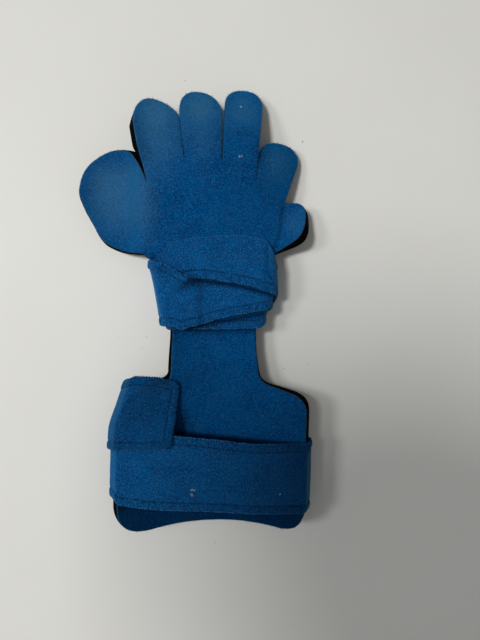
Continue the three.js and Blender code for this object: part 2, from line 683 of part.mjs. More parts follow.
// Where each strap lies: the place at which its taut outline is taken, the points under the pad
// that its layers rest on, the rims it spans, how far it sags, how it tapers past the pad's shoulder
// on the thumb side, and where it comes down on the palm.
const WRIST_TOP = 0.225 * HAND_LENGTH;
const WRIST_PLACE = {
  rows: WRIST,
  length: HAND_LENGTH,
  across: HAND_WIDTH,
  at: (y) => (y > WRIST_TOP ? WRIST_TOP : WRIST_TOP - (WRIST_TOP - y) * 0.92),
  rests: [-0.475, 0.51].map((share) => ({ x: share * NECK_WIDTH, z: underStrap(3) })),
  half: 0.4 * HAND_WIDTH,
  sag: () => WRIST_SAG,
  taper: 0,
  palm: (y, layer) => (layer < 1 ? 0 : smooth((y - 0.226 * HAND_LENGTH) / (0.071 * HAND_LENGTH))),
  rides: true,
};
const FOREARM_PLACE = {
  rows: FOREARM,
  length: FOREARM_LENGTH,
  across: FOREARM_WIDTH,
  at: (y) => clamp(y, -0.876 * FOREARM_LENGTH, -0.438 * FOREARM_LENGTH),
  rests: [-0.229, 0.214].map((share) => ({ x: share * FOREARM_WIDTH, z: underStrap(2) })),
  half: 0.49 * FOREARM_WIDTH,
  sag: (y) => FOREARM_SAG * (1 + smooth((y / FOREARM_LENGTH + 0.549) / 0.196)),
  taper: 0.34,
  palm: () => 0,
  rides: false,
};

function strapGeometry(loop, place, columns) {
  const cache = new Map();
  const loopAt = (y) => {
    const at = Math.round(place.at(y) * 2) / 2;
    if (!cache.has(at)) cache.set(at, tautLoop(loop, at, 0, place.rests));
    return cache.get(at);
  };
  const rows = place.rows.map((row) => {
    const one = row.edge * place.length;
    const other = one + row.width * STRAP_WIDTH;
    return { ...row, upper: Math.max(one, other), lower: Math.min(one, other) };
  });
  const reference = loopAt(rows[0].upper);
  const turnAt = (front, x) => {
    let best = front;
    for (let q = front - 1; q <= front + 1; q += 0.002) {
      if (Math.abs(loopPoint(reference, q).x - x) < Math.abs(loopPoint(reference, best).x - x)) best = q;
    }
    return best;
  };
  const table = rows.map((row) => {
    return { ...row, q: row.x === undefined ? row.q : turnAt(row.q, row.x * place.across) };
  });
  const point = (q, y, layer, raise) => {
    const p = loopPoint(loopAt(y), q);
    const reach = SNUG + layer * LAYER + raise;
    const past = Math.max(0, y - place.at(y));
    const inward = place.taper * past * clamp(-p.x / place.half, 0, 1);
    const x = p.x + inward + p.nx * reach;
    let z = p.z + p.nz * reach;
    if (p.nz <= 0) return new THREE.Vector3(x, y, z);
    const across = clamp((x + place.half) / (2 * place.half), 0, 1);
    z -= place.sag(y) * Math.sin(Math.PI * across) ** 3 * p.nz;
    if (place.rides && y > place.at(y)) z += (height(x, y) - height(x, place.at(y))) * p.nz;
    const down = place.palm(y, layer) * p.nz * p.nz;
    if (down > 0) z += (height(clamp(x, -place.half, place.half), y) + SNUG + raise - z) * down;
    return new THREE.Vector3(x, y, z);
  };
  const first = table[0].q;
  const last = table[table.length - 1].q;
  const stops = [first];
  const stepAt = (q) => 1 / reference[Math.floor(((q % 4) + 4) % 4)].sum;
  while (stops[stops.length - 1] + stepAt(stops[stops.length - 1]) < last - 0.02) {
    stops.push(stops[stops.length - 1] + stepAt(stops[stops.length - 1]));
  }
  stops.push(last);
  const vertices = [];
  for (const q of stops) {
    const upper = column(table, "q", "upper", q);
    const lower = column(table, "q", "lower", q);
    const layer = column(table, "q", "layer", q);
    const yAt = (j) => upper + ((lower - upper) * j) / columns;
    for (let j = 0; j <= columns; j += 1) vertices.push(point(q, yAt(j), layer, STRAP));
    for (let j = columns; j >= 0; j -= 1) vertices.push(point(q, yAt(j), layer, 0));
  }
  const ring = 2 * (columns + 1);
  const faces = [];
  for (let i = 0; i < stops.length - 1; i += 1) {
    for (let k = 0; k < ring; k += 1) {
      const a = i * ring + k;
      const b = i * ring + ((k + 1) % ring);
      faces.push([a, b, b + ring]);
      faces.push([a, b + ring, a + ring]);
    }
  }
  const end = (stops.length - 1) * ring;
  for (let j = 0; j < columns; j += 1) {
    const [a, b, c, d] = [j, j + 1, ring - 2 - j, ring - 1 - j];
    faces.push([a, c, b]);
    faces.push([a, d, c]);
    faces.push([end + a, end + b, end + c]);
    faces.push([end + a, end + c, end + d]);
  }
  return geometryOf(vertices, faces);
}

const loop = outline();
const base = surface(loop);
const pieces = [
  ["face_fabric", padLayer(base, 0, FACE), 0x14548c],
  ["foam_core", padLayer(base, FACE + AIR, PAD), 0x101113],
  ["wrist_strap", strapGeometry(loop, WRIST_PLACE, 4), 0x165a94],
  ["forearm_strap", strapGeometry(loop, FOREARM_PLACE, 4), 0x165a94],
];

const group = new THREE.Group();
group.name = "resting_hand_splint";
for (const [name, geometry, color] of pieces) {
  const mesh = new THREE.Mesh(geometry, new THREE.MeshStandardMaterial({ color, roughness: 0.95 }));
  mesh.name = name;
  group.add(mesh);
}

// The origin is at the bottom centre of the whole.
const box = new THREE.Box3().setFromObject(group);
const centre = box.getCenter(new THREE.Vector3());
for (const [, geometry] of pieces) geometry.translate(-centre.x, -centre.y, -box.min.z);

export default group;
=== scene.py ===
import math

import bpy
import numpy as np
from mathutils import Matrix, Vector
from mathutils.geometry import delaunay_2d_cdt


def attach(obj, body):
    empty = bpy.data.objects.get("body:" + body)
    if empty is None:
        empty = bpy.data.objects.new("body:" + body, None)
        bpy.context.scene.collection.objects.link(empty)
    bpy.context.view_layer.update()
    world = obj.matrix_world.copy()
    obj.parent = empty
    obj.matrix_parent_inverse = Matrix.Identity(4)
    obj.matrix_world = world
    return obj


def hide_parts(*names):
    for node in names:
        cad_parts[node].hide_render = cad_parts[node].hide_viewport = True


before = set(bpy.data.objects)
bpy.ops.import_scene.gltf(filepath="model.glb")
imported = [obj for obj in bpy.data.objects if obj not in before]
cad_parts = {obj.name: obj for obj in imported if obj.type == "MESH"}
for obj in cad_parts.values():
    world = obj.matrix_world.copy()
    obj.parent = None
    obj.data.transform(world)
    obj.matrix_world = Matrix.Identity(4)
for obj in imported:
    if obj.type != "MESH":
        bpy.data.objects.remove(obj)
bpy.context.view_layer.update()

# A resting hand splint on a pale table, seen from straight above.
# Shapes are worked out in millimetres from the wrist, as in the part's source,
# and moved into the frame by SHIFT when a mesh is made.
MM = 0.001
SHIFT = np.array([13.647, -9.189, 0.0])
rng = np.random.default_rng(7)

FACE = 1.2
FOAM = 6.3
AIR = 0.3
STRAP = 2.0
STRAP_WIDTH = 50
SNUG = 0.4
HAND_LENGTH = 168
FOREARM_LENGTH = 153
HAND_WIDTH = 99
NECK_WIDTH = 59
FOREARM_WIDTH = 131
ARCH = 17.6
TROUGH = 17
THUMB_REACH = 37
THUMB_CUP = 10
SIDE_FOLD = 21
INDEX_CURL = 4.8
SLIT = 0.8
WRIST_SAG = 2.2
FOREARM_SAG = 4
PAD = FACE + AIR + FOAM
LAYER = STRAP + AIR
CAP_FULLNESS = 2.35
CURL_SLANT = 0.235
LIFT_RATE = 1.9
SIDE_FROM = 0.92
CREASE = {"x": 0.425, "shift": 0.095, "from": 0.3, "over": 0.2, "deep": 0.273}
INDEX_EDGE = {"x": -0.465, "from": 0.583, "over": 0.155, "deep": 0.131, "most": 1.1}
THUMB_ROOT = {"x": -0.444, "from": 0.87, "over": 0.212, "half": 0.649, "floor": 0.136}
CUP_BEND = {"left": 0.42, "right": 0.9, "low": 0.5, "high": 0.7}


def under_strap(layers):
    return SNUG + layers * LAYER - AIR


def along(share):
    return share * (FOREARM_LENGTH if share < 0 else HAND_LENGTH)


# Rows: y, mid, layers, lift, width it follows, wide, left, left bend, right, right bend.
SECTIONS = [
    (-1.02, 0, 2, 0.108, FOREARM_WIDTH, 0.511, 0.882, 3, 0.706, 2.1),
    (-0.85, 0, 2, 0.062, FOREARM_WIDTH, 0.511, 1, 3.2, 0.824, 2.1),
    (-0.654, 0, 2, 0.045, FOREARM_WIDTH, 0.511, 1.059, 3.2, 0.882, 2.1),
    (-0.458, 0, 2, 0.068, FOREARM_WIDTH, 0.504, 1, 3, 0.853, 2.1),
    (-0.353, 0, 2, 0.125, FOREARM_WIDTH, 0.412, 0.765, 2.6, 0.676, 2),
    (-0.248, 0.01, 3, 0.045, NECK_WIDTH, 0.576, 0.529, 2.2, 0.24, 2),
    (-0.131, 0.015, 3, 0.045, NECK_WIDTH, 0.508, 0.412, 2, 0.059, 2),
    (0.012, 0.015, 3, 0.023, NECK_WIDTH, 0.542, 0.382, 2, 0.147, 2),
    (0.149, 0.01, 3, 0.091, HAND_WIDTH, 0.434, 0.353, 2, 0.235, 2),
    (0.286, 0, 3, 0.273, HAND_WIDTH, 0.465, 0.235, 2, -0.059, 2),
    (0.446, -0.04, 3, 0.591, HAND_WIDTH, 0.505, 0.059, 2, -0.471, 2),
    (0.583, -0.071, 3, 0.875, HAND_WIDTH, 0.525, -0.059, 2, -0.647, 2),
    (0.69, -0.081, 3, 1, HAND_WIDTH, 0.525, -0.118, 2, -0.706, 2),
    (0.798, -0.081, 3, 0.784, HAND_WIDTH, 0.525, -0.118, 2, -0.647, 2),
    (0.893, -0.081, 3, 0.42, HAND_WIDTH, 0.525, -0.118, 2, -0.529, 2),
    (1.012, -0.081, 3, -0.08, HAND_WIDTH, 0.525, -0.118, 2, -0.412, 2),
]
# Corners of forearm and neck: width it follows, x, y, rounding.
BODY = [
    (HAND_WIDTH, -0.375, 0.225, 0.04),
    (NECK_WIDTH, -0.461, -0.026, 0.169),
    (NECK_WIDTH, -0.49, -0.288, 0.119),
    (FOREARM_WIDTH, -0.485, -0.356, 0.198),
    (FOREARM_WIDTH, -0.501, -1.01, 0.183),
    (FOREARM_WIDTH, 0.061, -0.922, 0.328),
    (FOREARM_WIDTH, 0.485, -0.99, 0.137),
    (FOREARM_WIDTH, 0.507, -0.363, 0.092),
    (NECK_WIDTH, 0.563, -0.29, 0.136),
    (NECK_WIDTH, 0.512, -0.033, 0.169),
    (HAND_WIDTH, 0.372, 0.225, 0.04),
]
THUMB_NOTCH = (-0.4818 * HAND_WIDTH, 0.2786 * HAND_LENGTH)
SIDE_NOTCH = (0.4566 * HAND_WIDTH, 0.2869 * HAND_LENGTH)
LITTLE_NOTCH = (0.5293 * HAND_WIDTH, 0.5048 * HAND_LENGTH)
# Little, ring, middle, index: slit x, y, cap x, y, half, cap, lean, skew, lift, roll, tip.
FINGER_ROWS = [
    (0.3242, 0.5952, 0.491, 0.6918, 0.1445, 0.1305, -12, -0.08, 0, 0, -0.25),
    (0.0778, 0.6548, 0.2307, 0.9232, 0.1375, 0.1451, 2.4, 0.05, 0.085, -0.06, -0.256),
    (-0.1838, 0.6667, -0.0737, 0.8607, 0.151, 0.2058, 7.6, 0.162, 0.142, 0.08, -0.114),
    (-0.4566, 0.5774, -0.389, 0.8382, 0.1596, 0.1796, 2.3, 0.4, -0.028, 0.1, 0),
]
FINGERS = [
    {
        "slit_x": r[0] * HAND_WIDTH, "slit_y": r[1] * HAND_LENGTH,
        "cap_x": r[2] * HAND_WIDTH, "cap_y": r[3] * HAND_LENGTH,
        "half": r[4] * HAND_WIDTH, "cap": r[5] * HAND_WIDTH, "lean": math.radians(r[6]),
        "skew": r[7], "lift": r[8] * ARCH, "roll": r[9], "tip": r[10] * ARCH,
    }
    for r in FINGER_ROWS
]
THUMB = (-0.722 * HAND_WIDTH, 0.512 * HAND_LENGTH)
THUMB_RIM = [
    (25, 0.768), (56, 0.859), (75, 0.984), (97, 0.941), (128, 0.832), (160, 0.71),
    (188, 0.592), (223, 0.584), (249, 0.741), (264, 0.849), (285, 1.022),
]
SIDE_RIM = [
    (0.601, 0.343), (0.6505, 0.3845), (0.6727, 0.43), (0.6737, 0.4786), (0.628, 0.5036),
]


def smooth(t):
    c = np.clip(t, 0, 1)
    return c * c * (3 - 2 * c)


def curve(knots, values):
    """A smooth function through a table's column, without overshoot."""
    x, y = np.array(knots, float), np.array(values, float)
    step = np.diff(y) / np.diff(x)
    slope = np.empty(len(x))
    slope[0], slope[-1] = step[0], step[-1]
    product = step[:-1] * step[1:]
    total = np.where(product <= 0, 1, step[:-1] + step[1:])
    slope[1:-1] = np.where(product <= 0, 0, 2 * product / total)

    def at(v):
        v = np.clip(v, x[0], x[-1])
        i = np.clip(np.searchsorted(x, v, side="right") - 1, 0, len(x) - 2)
        span = x[i + 1] - x[i]
        t = (v - x[i]) / span
        t2, t3 = t * t, t * t * t
        return (
            (2 * t3 - 3 * t2 + 1) * y[i] + (t3 - 2 * t2 + t) * span * slope[i]
            + (3 * t2 - 2 * t3) * y[i + 1] + (t3 - t2) * span * slope[i + 1]
        )

    return at


SECTION_Y = [along(r[0]) for r in SECTIONS]
section = {
    "mid": curve(SECTION_Y, [r[1] * HAND_WIDTH for r in SECTIONS]),
    "floor": curve(SECTION_Y, [PAD + under_strap(r[2]) + r[3] * ARCH for r in SECTIONS]),
    "wide": curve(SECTION_Y, [r[5] * r[4] for r in SECTIONS]),
    "left": curve(SECTION_Y, [r[6] * TROUGH for r in SECTIONS]),
    "left_bend": curve(SECTION_Y, [r[7] for r in SECTIONS]),
    "right": curve(SECTION_Y, [r[8] * TROUGH for r in SECTIONS]),
    "right_bend": curve(SECTION_Y, [r[9] for r in SECTIONS]),
}


# Outline of the pad, counter-clockwise, in runs between its sharp corners.
def rounded_run(start, corners, end):
    path = [np.array(start)]
    nodes = [np.array(start)] + [np.array(c[:2]) for c in corners] + [np.array(end)]
    for i, corner in enumerate(corners):
        before, here, after = nodes[i], nodes[i + 1], nodes[i + 2]
        a = here + (before - here) * corner[2] / np.linalg.norm(before - here)
        b = here + (after - here) * corner[2] / np.linalg.norm(after - here)
        for t in np.linspace(0, 1, 25):
            path.append((1 - t) ** 2 * a + 2 * t * (1 - t) * here + t * t * b)
    path.append(np.array(end))
    return np.array(path)


def spline_run(points):
    p = [np.array(v, float) for v in points]
    path = []
    for i in range(len(p) - 1):
        p0, p1, p2 = p[max(i - 1, 0)], p[i], p[i + 1]
        p3 = p[min(i + 2, len(p) - 1)]
        v0, v1 = (p2 - p0) * 0.5, (p3 - p1) * 0.5
        for t in np.linspace(0, 1, 24, endpoint=False):
            path.append(
                (2 * p1 - 2 * p2 + v0 + v1) * t ** 3
                + (-3 * p1 + 3 * p2 - 2 * v0 - v1) * t ** 2 + v0 * t + p1
            )
    path.append(p[-1])
    return np.array(path)


def finger_run(f, start):
    path = [np.array(start)]
    for turn in np.linspace(0, math.pi, 61):
        c, s = math.cos(turn), math.sin(turn)
        share = math.copysign(abs(c) ** (2 / CAP_FULLNESS), c)
        across = f["half"] * share
        up = f["cap"] * abs(s) ** (2 / CAP_FULLNESS) * (1 - f["skew"] * share)
        cl, sl = math.cos(f["lean"]), math.sin(f["lean"])
        path.append(np.array([f["cap_x"] + across * cl - up * sl,
                              f["cap_y"] + across * sl + up * cl]))
    path.append(np.array([f["slit_x"] + SLIT / 2, f["slit_y"]]))
    return np.array(path)


def spaced(path, step):
    length = np.concatenate([[0], np.cumsum(np.linalg.norm(np.diff(path, axis=0), axis=1))])
    count = max(3, round(length[-1] / step))
    at = np.linspace(0, length[-1], count + 1)
    return np.stack([np.interp(at, length, path[:, k]) for k in range(2)], axis=1)


SAME_POINT = 0.15


def outline(step):
    corners = [(r[1] * r[0], along(r[2]), r[3] * r[0]) for r in BODY]
    runs = [rounded_run(THUMB_NOTCH, corners, SIDE_NOTCH)]
    side = [(x * HAND_WIDTH, y * HAND_LENGTH) for x, y in SIDE_RIM]
    runs.append(spline_run([SIDE_NOTCH, *side, LITTLE_NOTCH]))
    start = LITTLE_NOTCH
    for f in FINGERS:
        runs.append(finger_run(f, start))
        start = (f["slit_x"] - SLIT / 2, f["slit_y"])
    rim = [
        (THUMB[0] + reach * THUMB_REACH * math.cos(math.radians(turn)),
         THUMB[1] + reach * THUMB_REACH * math.sin(math.radians(turn)))
        for turn, reach in THUMB_RIM
    ]
    runs.append(spline_run([start, *rim, THUMB_NOTCH]))
    points = []
    for run in runs:
        for p in spaced(run, step):
            if not points or np.linalg.norm(points[-1] - p) > SAME_POINT:
                points.append(p)
    if np.linalg.norm(points[0] - points[-1]) < SAME_POINT:
        points.pop()
    return np.array(points)


# Height of the pad's upper surface; each finger lies at its own height.
def lobe_of(x, y):
    lobe = np.full(x.shape, len(FINGERS))
    for i, f in enumerate(FINGERS):
        if i + 1 < len(FINGERS):
            g = FINGERS[i + 1]
            meet = (f["cap_x"] - f["half"] + g["cap_x"] + g["half"]) / 2
            top = (f["cap_y"] + g["cap_y"]) / 2
            t = np.clip((y - f["slit_y"]) / (top - f["slit_y"]), 0, 1.6)
            slit = f["slit_x"] + (meet - f["slit_x"]) * t
        else:
            slit = np.where(y > f["slit_y"], f["slit_x"] - (y - f["slit_y"]) * CURL_SLANT, -1e9)
        lobe = np.where((lobe == len(FINGERS)) & (x > slit), i, lobe)
    return lobe


def finger_rise(x, y, i):
    f = FINGERS[i]
    rx, ry = LITTLE_NOTCH if i == 0 else (FINGERS[i - 1]["slit_x"], FINGERS[i - 1]["slit_y"])
    share = np.clip((x - f["slit_x"]) / (rx - f["slit_x"]), 0, 1)
    root = f["slit_y"] + (ry - f["slit_y"]) * share
    run = (y - root) / (f["cap_y"] + f["cap"] - root)
    axis = (f["slit_x"] + rx) / 2
    centre = axis + (f["cap_x"] - axis) * np.clip(run, 0, 1)
    rise = smooth(run * LIFT_RATE) * (f["lift"] - f["roll"] * (x - centre)) + f["tip"] * run * run
    return np.where(run <= 0, 0, rise)


def height(x, y):
    x, y = np.broadcast_arrays(np.asarray(x, float), np.asarray(y, float))
    d = x - section["mid"](y)
    part = np.abs(d) / section["wide"](y)
    z = section["floor"](y) + np.where(
        d < 0,
        section["left"](y) * part ** section["left_bend"](y),
        section["right"](y) * part ** section["right_bend"](y),
    )
    lobe = lobe_of(x, y)
    for i in range(len(FINGERS)):
        z = np.where(lobe == i, z + finger_rise(x, y, i), z)
    start = INDEX_EDGE["from"] * HAND_LENGTH
    line = INDEX_EDGE["x"] * HAND_WIDTH - CURL_SLANT * (y - start)
    near = np.clip(1 - (x - line) / (INDEX_EDGE["deep"] * HAND_WIDTH), 0, INDEX_EDGE["most"])
    curl = INDEX_CURL * near * near * smooth((y - start) / (INDEX_EDGE["over"] * HAND_LENGTH))
    z = np.where(lobe == len(FINGERS) - 1, z + curl, z)
    in_thumb = smooth((THUMB_ROOT["x"] * HAND_WIDTH - x) / (THUMB_ROOT["over"] * HAND_WIDTH))
    by_thumb = (y > THUMB_NOTCH[1] * THUMB_ROOT["from"]) & (
        (lobe == len(FINGERS)) | (y < FINGERS[-1]["slit_y"]))
    u = (x - THUMB[0]) / (THUMB_ROOT["half"] * THUMB_REACH)
    v = (y - THUMB[1]) / THUMB_REACH
    cup = np.where(u < 0, CUP_BEND["left"], CUP_BEND["right"]) * u * u
    cup = cup + np.where(v < 0, CUP_BEND["low"], CUP_BEND["high"]) * v * v
    cup = PAD + THUMB_ROOT["floor"] * ARCH + THUMB_CUP * cup
    z = np.where(by_thumb, z + (cup - z) * in_thumb, z)
    bend = smooth((y - CREASE["from"] * HAND_LENGTH) / (CREASE["over"] * HAND_LENGTH))
    line = (CREASE["x"] + CREASE["shift"] * bend) * HAND_WIDTH
    fold = SIDE_FOLD * (np.maximum(0, x - line) / (CREASE["deep"] * HAND_WIDTH)) ** 2
    by_side = (y > SIDE_NOTCH[1] * SIDE_FROM) & (y < LITTLE_NOTCH[1] + SLIT)
    return np.where(by_side, z + fold, z)


NOISE_CELLS = 4096
NOISE_STRIDES = (73, 179, 283)


def value_noise(p, scale, seed):
    """Smooth noise from -1 to 1 on points in millimetres, for mesh moves."""
    cells = np.random.default_rng(seed).uniform(-1, 1, NOISE_CELLS)
    q = np.asarray(p, float) / scale
    base = np.floor(q).astype(int)
    f = q - base
    f = f * f * (3 - 2 * f)
    total = np.zeros(len(q))
    for corner in range(2 ** q.shape[1]):
        bits = [(corner >> k) & 1 for k in range(q.shape[1])]
        weight, index = np.ones(len(q)), np.zeros(len(q), int)
        for k, bit in enumerate(bits):
            weight *= f[:, k] if bit else 1 - f[:, k]
            index += (base[:, k] + bit) * NOISE_STRIDES[k]
        total += weight * cells[index % NOISE_CELLS]
    return total


def put(name, data):
    obj = bpy.data.objects.new(name, data)
    bpy.context.scene.collection.objects.link(obj)
    return obj


def add_mesh(name, vertices, faces):
    mesh = bpy.data.meshes.new(name)
    v = (np.asarray(vertices, float) + SHIFT) * MM
    v[:, 2] = np.maximum(v[:, 2], 0)
    mesh.from_pydata(v.tolist(), [], faces)
    mesh.update()
    mesh.polygons.foreach_set("use_smooth", [True] * len(mesh.polygons))
    return put(name, mesh)


def attribute(obj, name, kind, values):
    a = obj.data.attributes.new(name, kind, "POINT")
    field = "vector" if kind == "FLOAT_VECTOR" else "value"
    a.data.foreach_set(field, np.asarray(values, np.float32).ravel())


# The pad: triangles that follow the outline in close rings, with a lattice inside.
RIM_STEP = 1.25
RIM_RINGS = (0.22, 0.55, 1.1, 2.0)
LATTICE = 1.9
ROW_SHARE = 0.866
BATCH = 2000


def rim_distance(points, loop):
    a = loop
    d = np.roll(loop, -1, axis=0) - a
    best = np.full(len(points), 1e9)
    for lo in range(0, len(points), BATCH):
        p = points[lo:lo + BATCH, None, :]
        t = np.clip(((p - a) * d).sum(2) / (d * d).sum(1), 0, 1)
        near = a + d * t[..., None]
        best[lo:lo + BATCH] = np.sqrt(((p - near) ** 2).sum(2)).min(1)
    return best


def inside(points, loop):
    a, b = loop, np.roll(loop, -1, axis=0)
    odd = np.zeros(len(points), bool)
    for lo in range(0, len(points), BATCH):
        x = points[lo:lo + BATCH, None, 0]
        y = points[lo:lo + BATCH, None, 1]
        rise = np.where(b[:, 1] == a[:, 1], 1e-12, b[:, 1] - a[:, 1])
        hit = (a[:, 1] > y) != (b[:, 1] > y)
        hit &= x < (b[:, 0] - a[:, 0]) * (y - a[:, 1]) / rise + a[:, 0]
        odd[lo:lo + BATCH] = hit.sum(1) % 2 == 1
    return odd


def pad_base():
    loop = outline(RIM_STEP)
    ahead, back = np.roll(loop, -1, axis=0), np.roll(loop, 1, axis=0)
    tangent = ahead - back
    inward = np.stack([-tangent[:, 1], tangent[:, 0]], axis=1)
    inward /= np.linalg.norm(inward, axis=1)[:, None]
    extra = []
    for ring in RIM_RINGS:
        p = loop + inward * ring
        extra.append(p[(rim_distance(p, loop) > ring * 0.93) & inside(p, loop)])
    low, high = loop.min(0), loop.max(0)
    rows = np.arange(low[1], high[1], LATTICE * ROW_SHARE)
    grid = []
    for k, y in enumerate(rows):
        xs = np.arange(low[0] + (LATTICE / 2 if k % 2 else 0), high[0], LATTICE)
        grid.append(np.stack([xs, np.full(len(xs), y)], axis=1))
    grid = np.concatenate(grid)
    grid = grid[inside(grid, loop)]
    grid = grid[rim_distance(grid, loop) > RIM_RINGS[-1] + LATTICE * 0.55]
    points = np.concatenate([loop, *extra, grid])
    n = len(loop)
    edges = [(i, (i + 1) % n) for i in range(n)]
    found = delaunay_2d_cdt([Vector(p) for p in points.tolist()], edges, [], 1, 1e-5)
    flat = np.array([v[:] for v in found[0]])
    tris = np.array(found[2])
    a, b, c = (flat[tris[:, k]] for k in range(3))
    area = (b[:, 0] - a[:, 0]) * (c[:, 1] - a[:, 1]) - (b[:, 1] - a[:, 1]) * (c[:, 0] - a[:, 0])
    tris = np.where((area < 0)[:, None], tris[:, ::-1], tris)
    tris = tris[np.abs(area) > 1e-6]
    used = np.unique(tris)
    remap = np.full(len(flat), -1)
    remap[used] = np.arange(len(used))
    flat, tris = flat[used], remap[tris]
    distance = rim_distance(flat, loop)
    top = np.column_stack([flat, height(flat[:, 0], flat[:, 1])])
    a, b, c = (top[tris[:, k]] for k in range(3))
    face_normals = np.cross(b - a, c - a)
    normals = np.zeros_like(top)
    for k in range(3):
        np.add.at(normals, tris[:, k], face_normals)
    normals /= np.linalg.norm(normals, axis=1)[:, None]
    directed = dict.fromkeys((t[k], t[(k + 1) % 3]) for t in tris.tolist() for k in range(3))
    rim = [(p, q) for p, q in directed if (q, p) not in directed]
    outward = np.zeros((len(flat), 2))
    for p, q in rim:
        e = flat[q] - flat[p]
        side = np.array([e[1], -e[0]]) / max(np.linalg.norm(e), 1e-9)
        outward[p] += side
        outward[q] += side
    size = np.linalg.norm(outward, axis=1)
    outward /= np.where(size > 1e-9, size, 1)[:, None]
    return {"flat": flat, "tris": tris, "top": top, "normals": normals, "rim": rim,
            "outward": outward, "distance": distance, "loop": loop}


def closed_layer(base, upper, walls, lower):
    """Vertices and faces of a closed layer: its upper side, rows of rim points, its lower side."""
    rim_ids = sorted({v for edge in base["rim"] for v in edge})
    place = {v: k for k, v in enumerate(rim_ids)}
    blocks = [upper] + [w[rim_ids] for w in walls] + [lower]
    faces = [tuple(t) for t in base["tris"].tolist()]
    starts = [0]
    for block in blocks[:-1]:
        starts.append(starts[-1] + len(block))
    low = starts[-1]
    faces += [(t[2] + low, t[1] + low, t[0] + low) for t in base["tris"].tolist()]

    def vertex(row, v):
        if row == 0:
            return v
        if row == len(blocks) - 1:
            return low + v
        return starts[row] + place[v]

    wall_start = len(faces)
    for p, q in base["rim"]:
        for row in range(len(blocks) - 1):
            faces.append((vertex(row, p), vertex(row + 1, p), vertex(row + 1, q), vertex(row, q)))
    return np.concatenate(blocks), faces, wall_start


base = pad_base()

RIM_RADIUS = 0.75
RIM_DROP = 0.7


def make_face():
    top, normals, d = base["top"], base["normals"], base["distance"]
    xy = base["flat"]
    ripple = 0.16 * value_noise(xy, 13, 1) + 0.09 * value_noise(xy, 5, 2)
    near = np.clip(1 - d / RIM_RADIUS, 0, 1)
    drop = RIM_RADIUS * (1 - np.sqrt(1 - near * near)) * RIM_DROP
    upper = top + normals * (ripple * smooth(d / 3) - drop)[:, None]
    lower = top - normals * FACE
    out = np.column_stack([base["outward"], np.zeros(len(top))])
    walls = [top - normals * 0.64 + out * 0.12, top - normals * (FACE * 0.86) + out * 0.1]
    vertices, faces, wall_start = closed_layer(base, upper, walls, lower)
    obj = add_mesh("face_cover", vertices, faces)
    attribute(obj, "cloth", "FLOAT_VECTOR", vertices)
    return obj, wall_start


FOAM_ROWS = 7


def make_foam():
    top, normals = base["top"], base["normals"]
    out = np.column_stack([base["outward"], np.zeros(len(top))])
    first, last = FACE + 0.04, PAD
    upper, lower = top - normals * first, top - normals * last
    xy = base["flat"]
    lower = lower + normals * 0.12 * value_noise(xy, 9, 5)[:, None]
    walls = []
    for u in np.arange(1, FOAM_ROWS) / FOAM_ROWS:
        depth = first + (last - first) * u
        bulge = 0.42 * math.sin(math.pi * u) - 0.1
        rough = 0.1 * value_noise(np.column_stack([xy, np.full(len(xy), depth)]), 1.7, 6)
        walls.append(top - normals * depth + out * (bulge + rough)[:, None])
    vertices, faces, wall_start = closed_layer(base, upper, walls, lower)
    obj = add_mesh("foam_board", vertices, faces)
    attribute(obj, "cloth", "FLOAT_VECTOR", vertices)
    return obj, wall_start


# Straps: ribbons wound on the taut outline round the pad at each place along it.
# A turn of four counts: 0 over the middle, 1 little finger side, 2 under, 3 thumb side.
QUARTER = 160
SECTION_STEP = 1.5
ARC_STEP = 0.12
UNIT_LENGTH = 7
UNIT_BEND = 0.42
PER_UNIT = 6
coarse = outline(4.3)


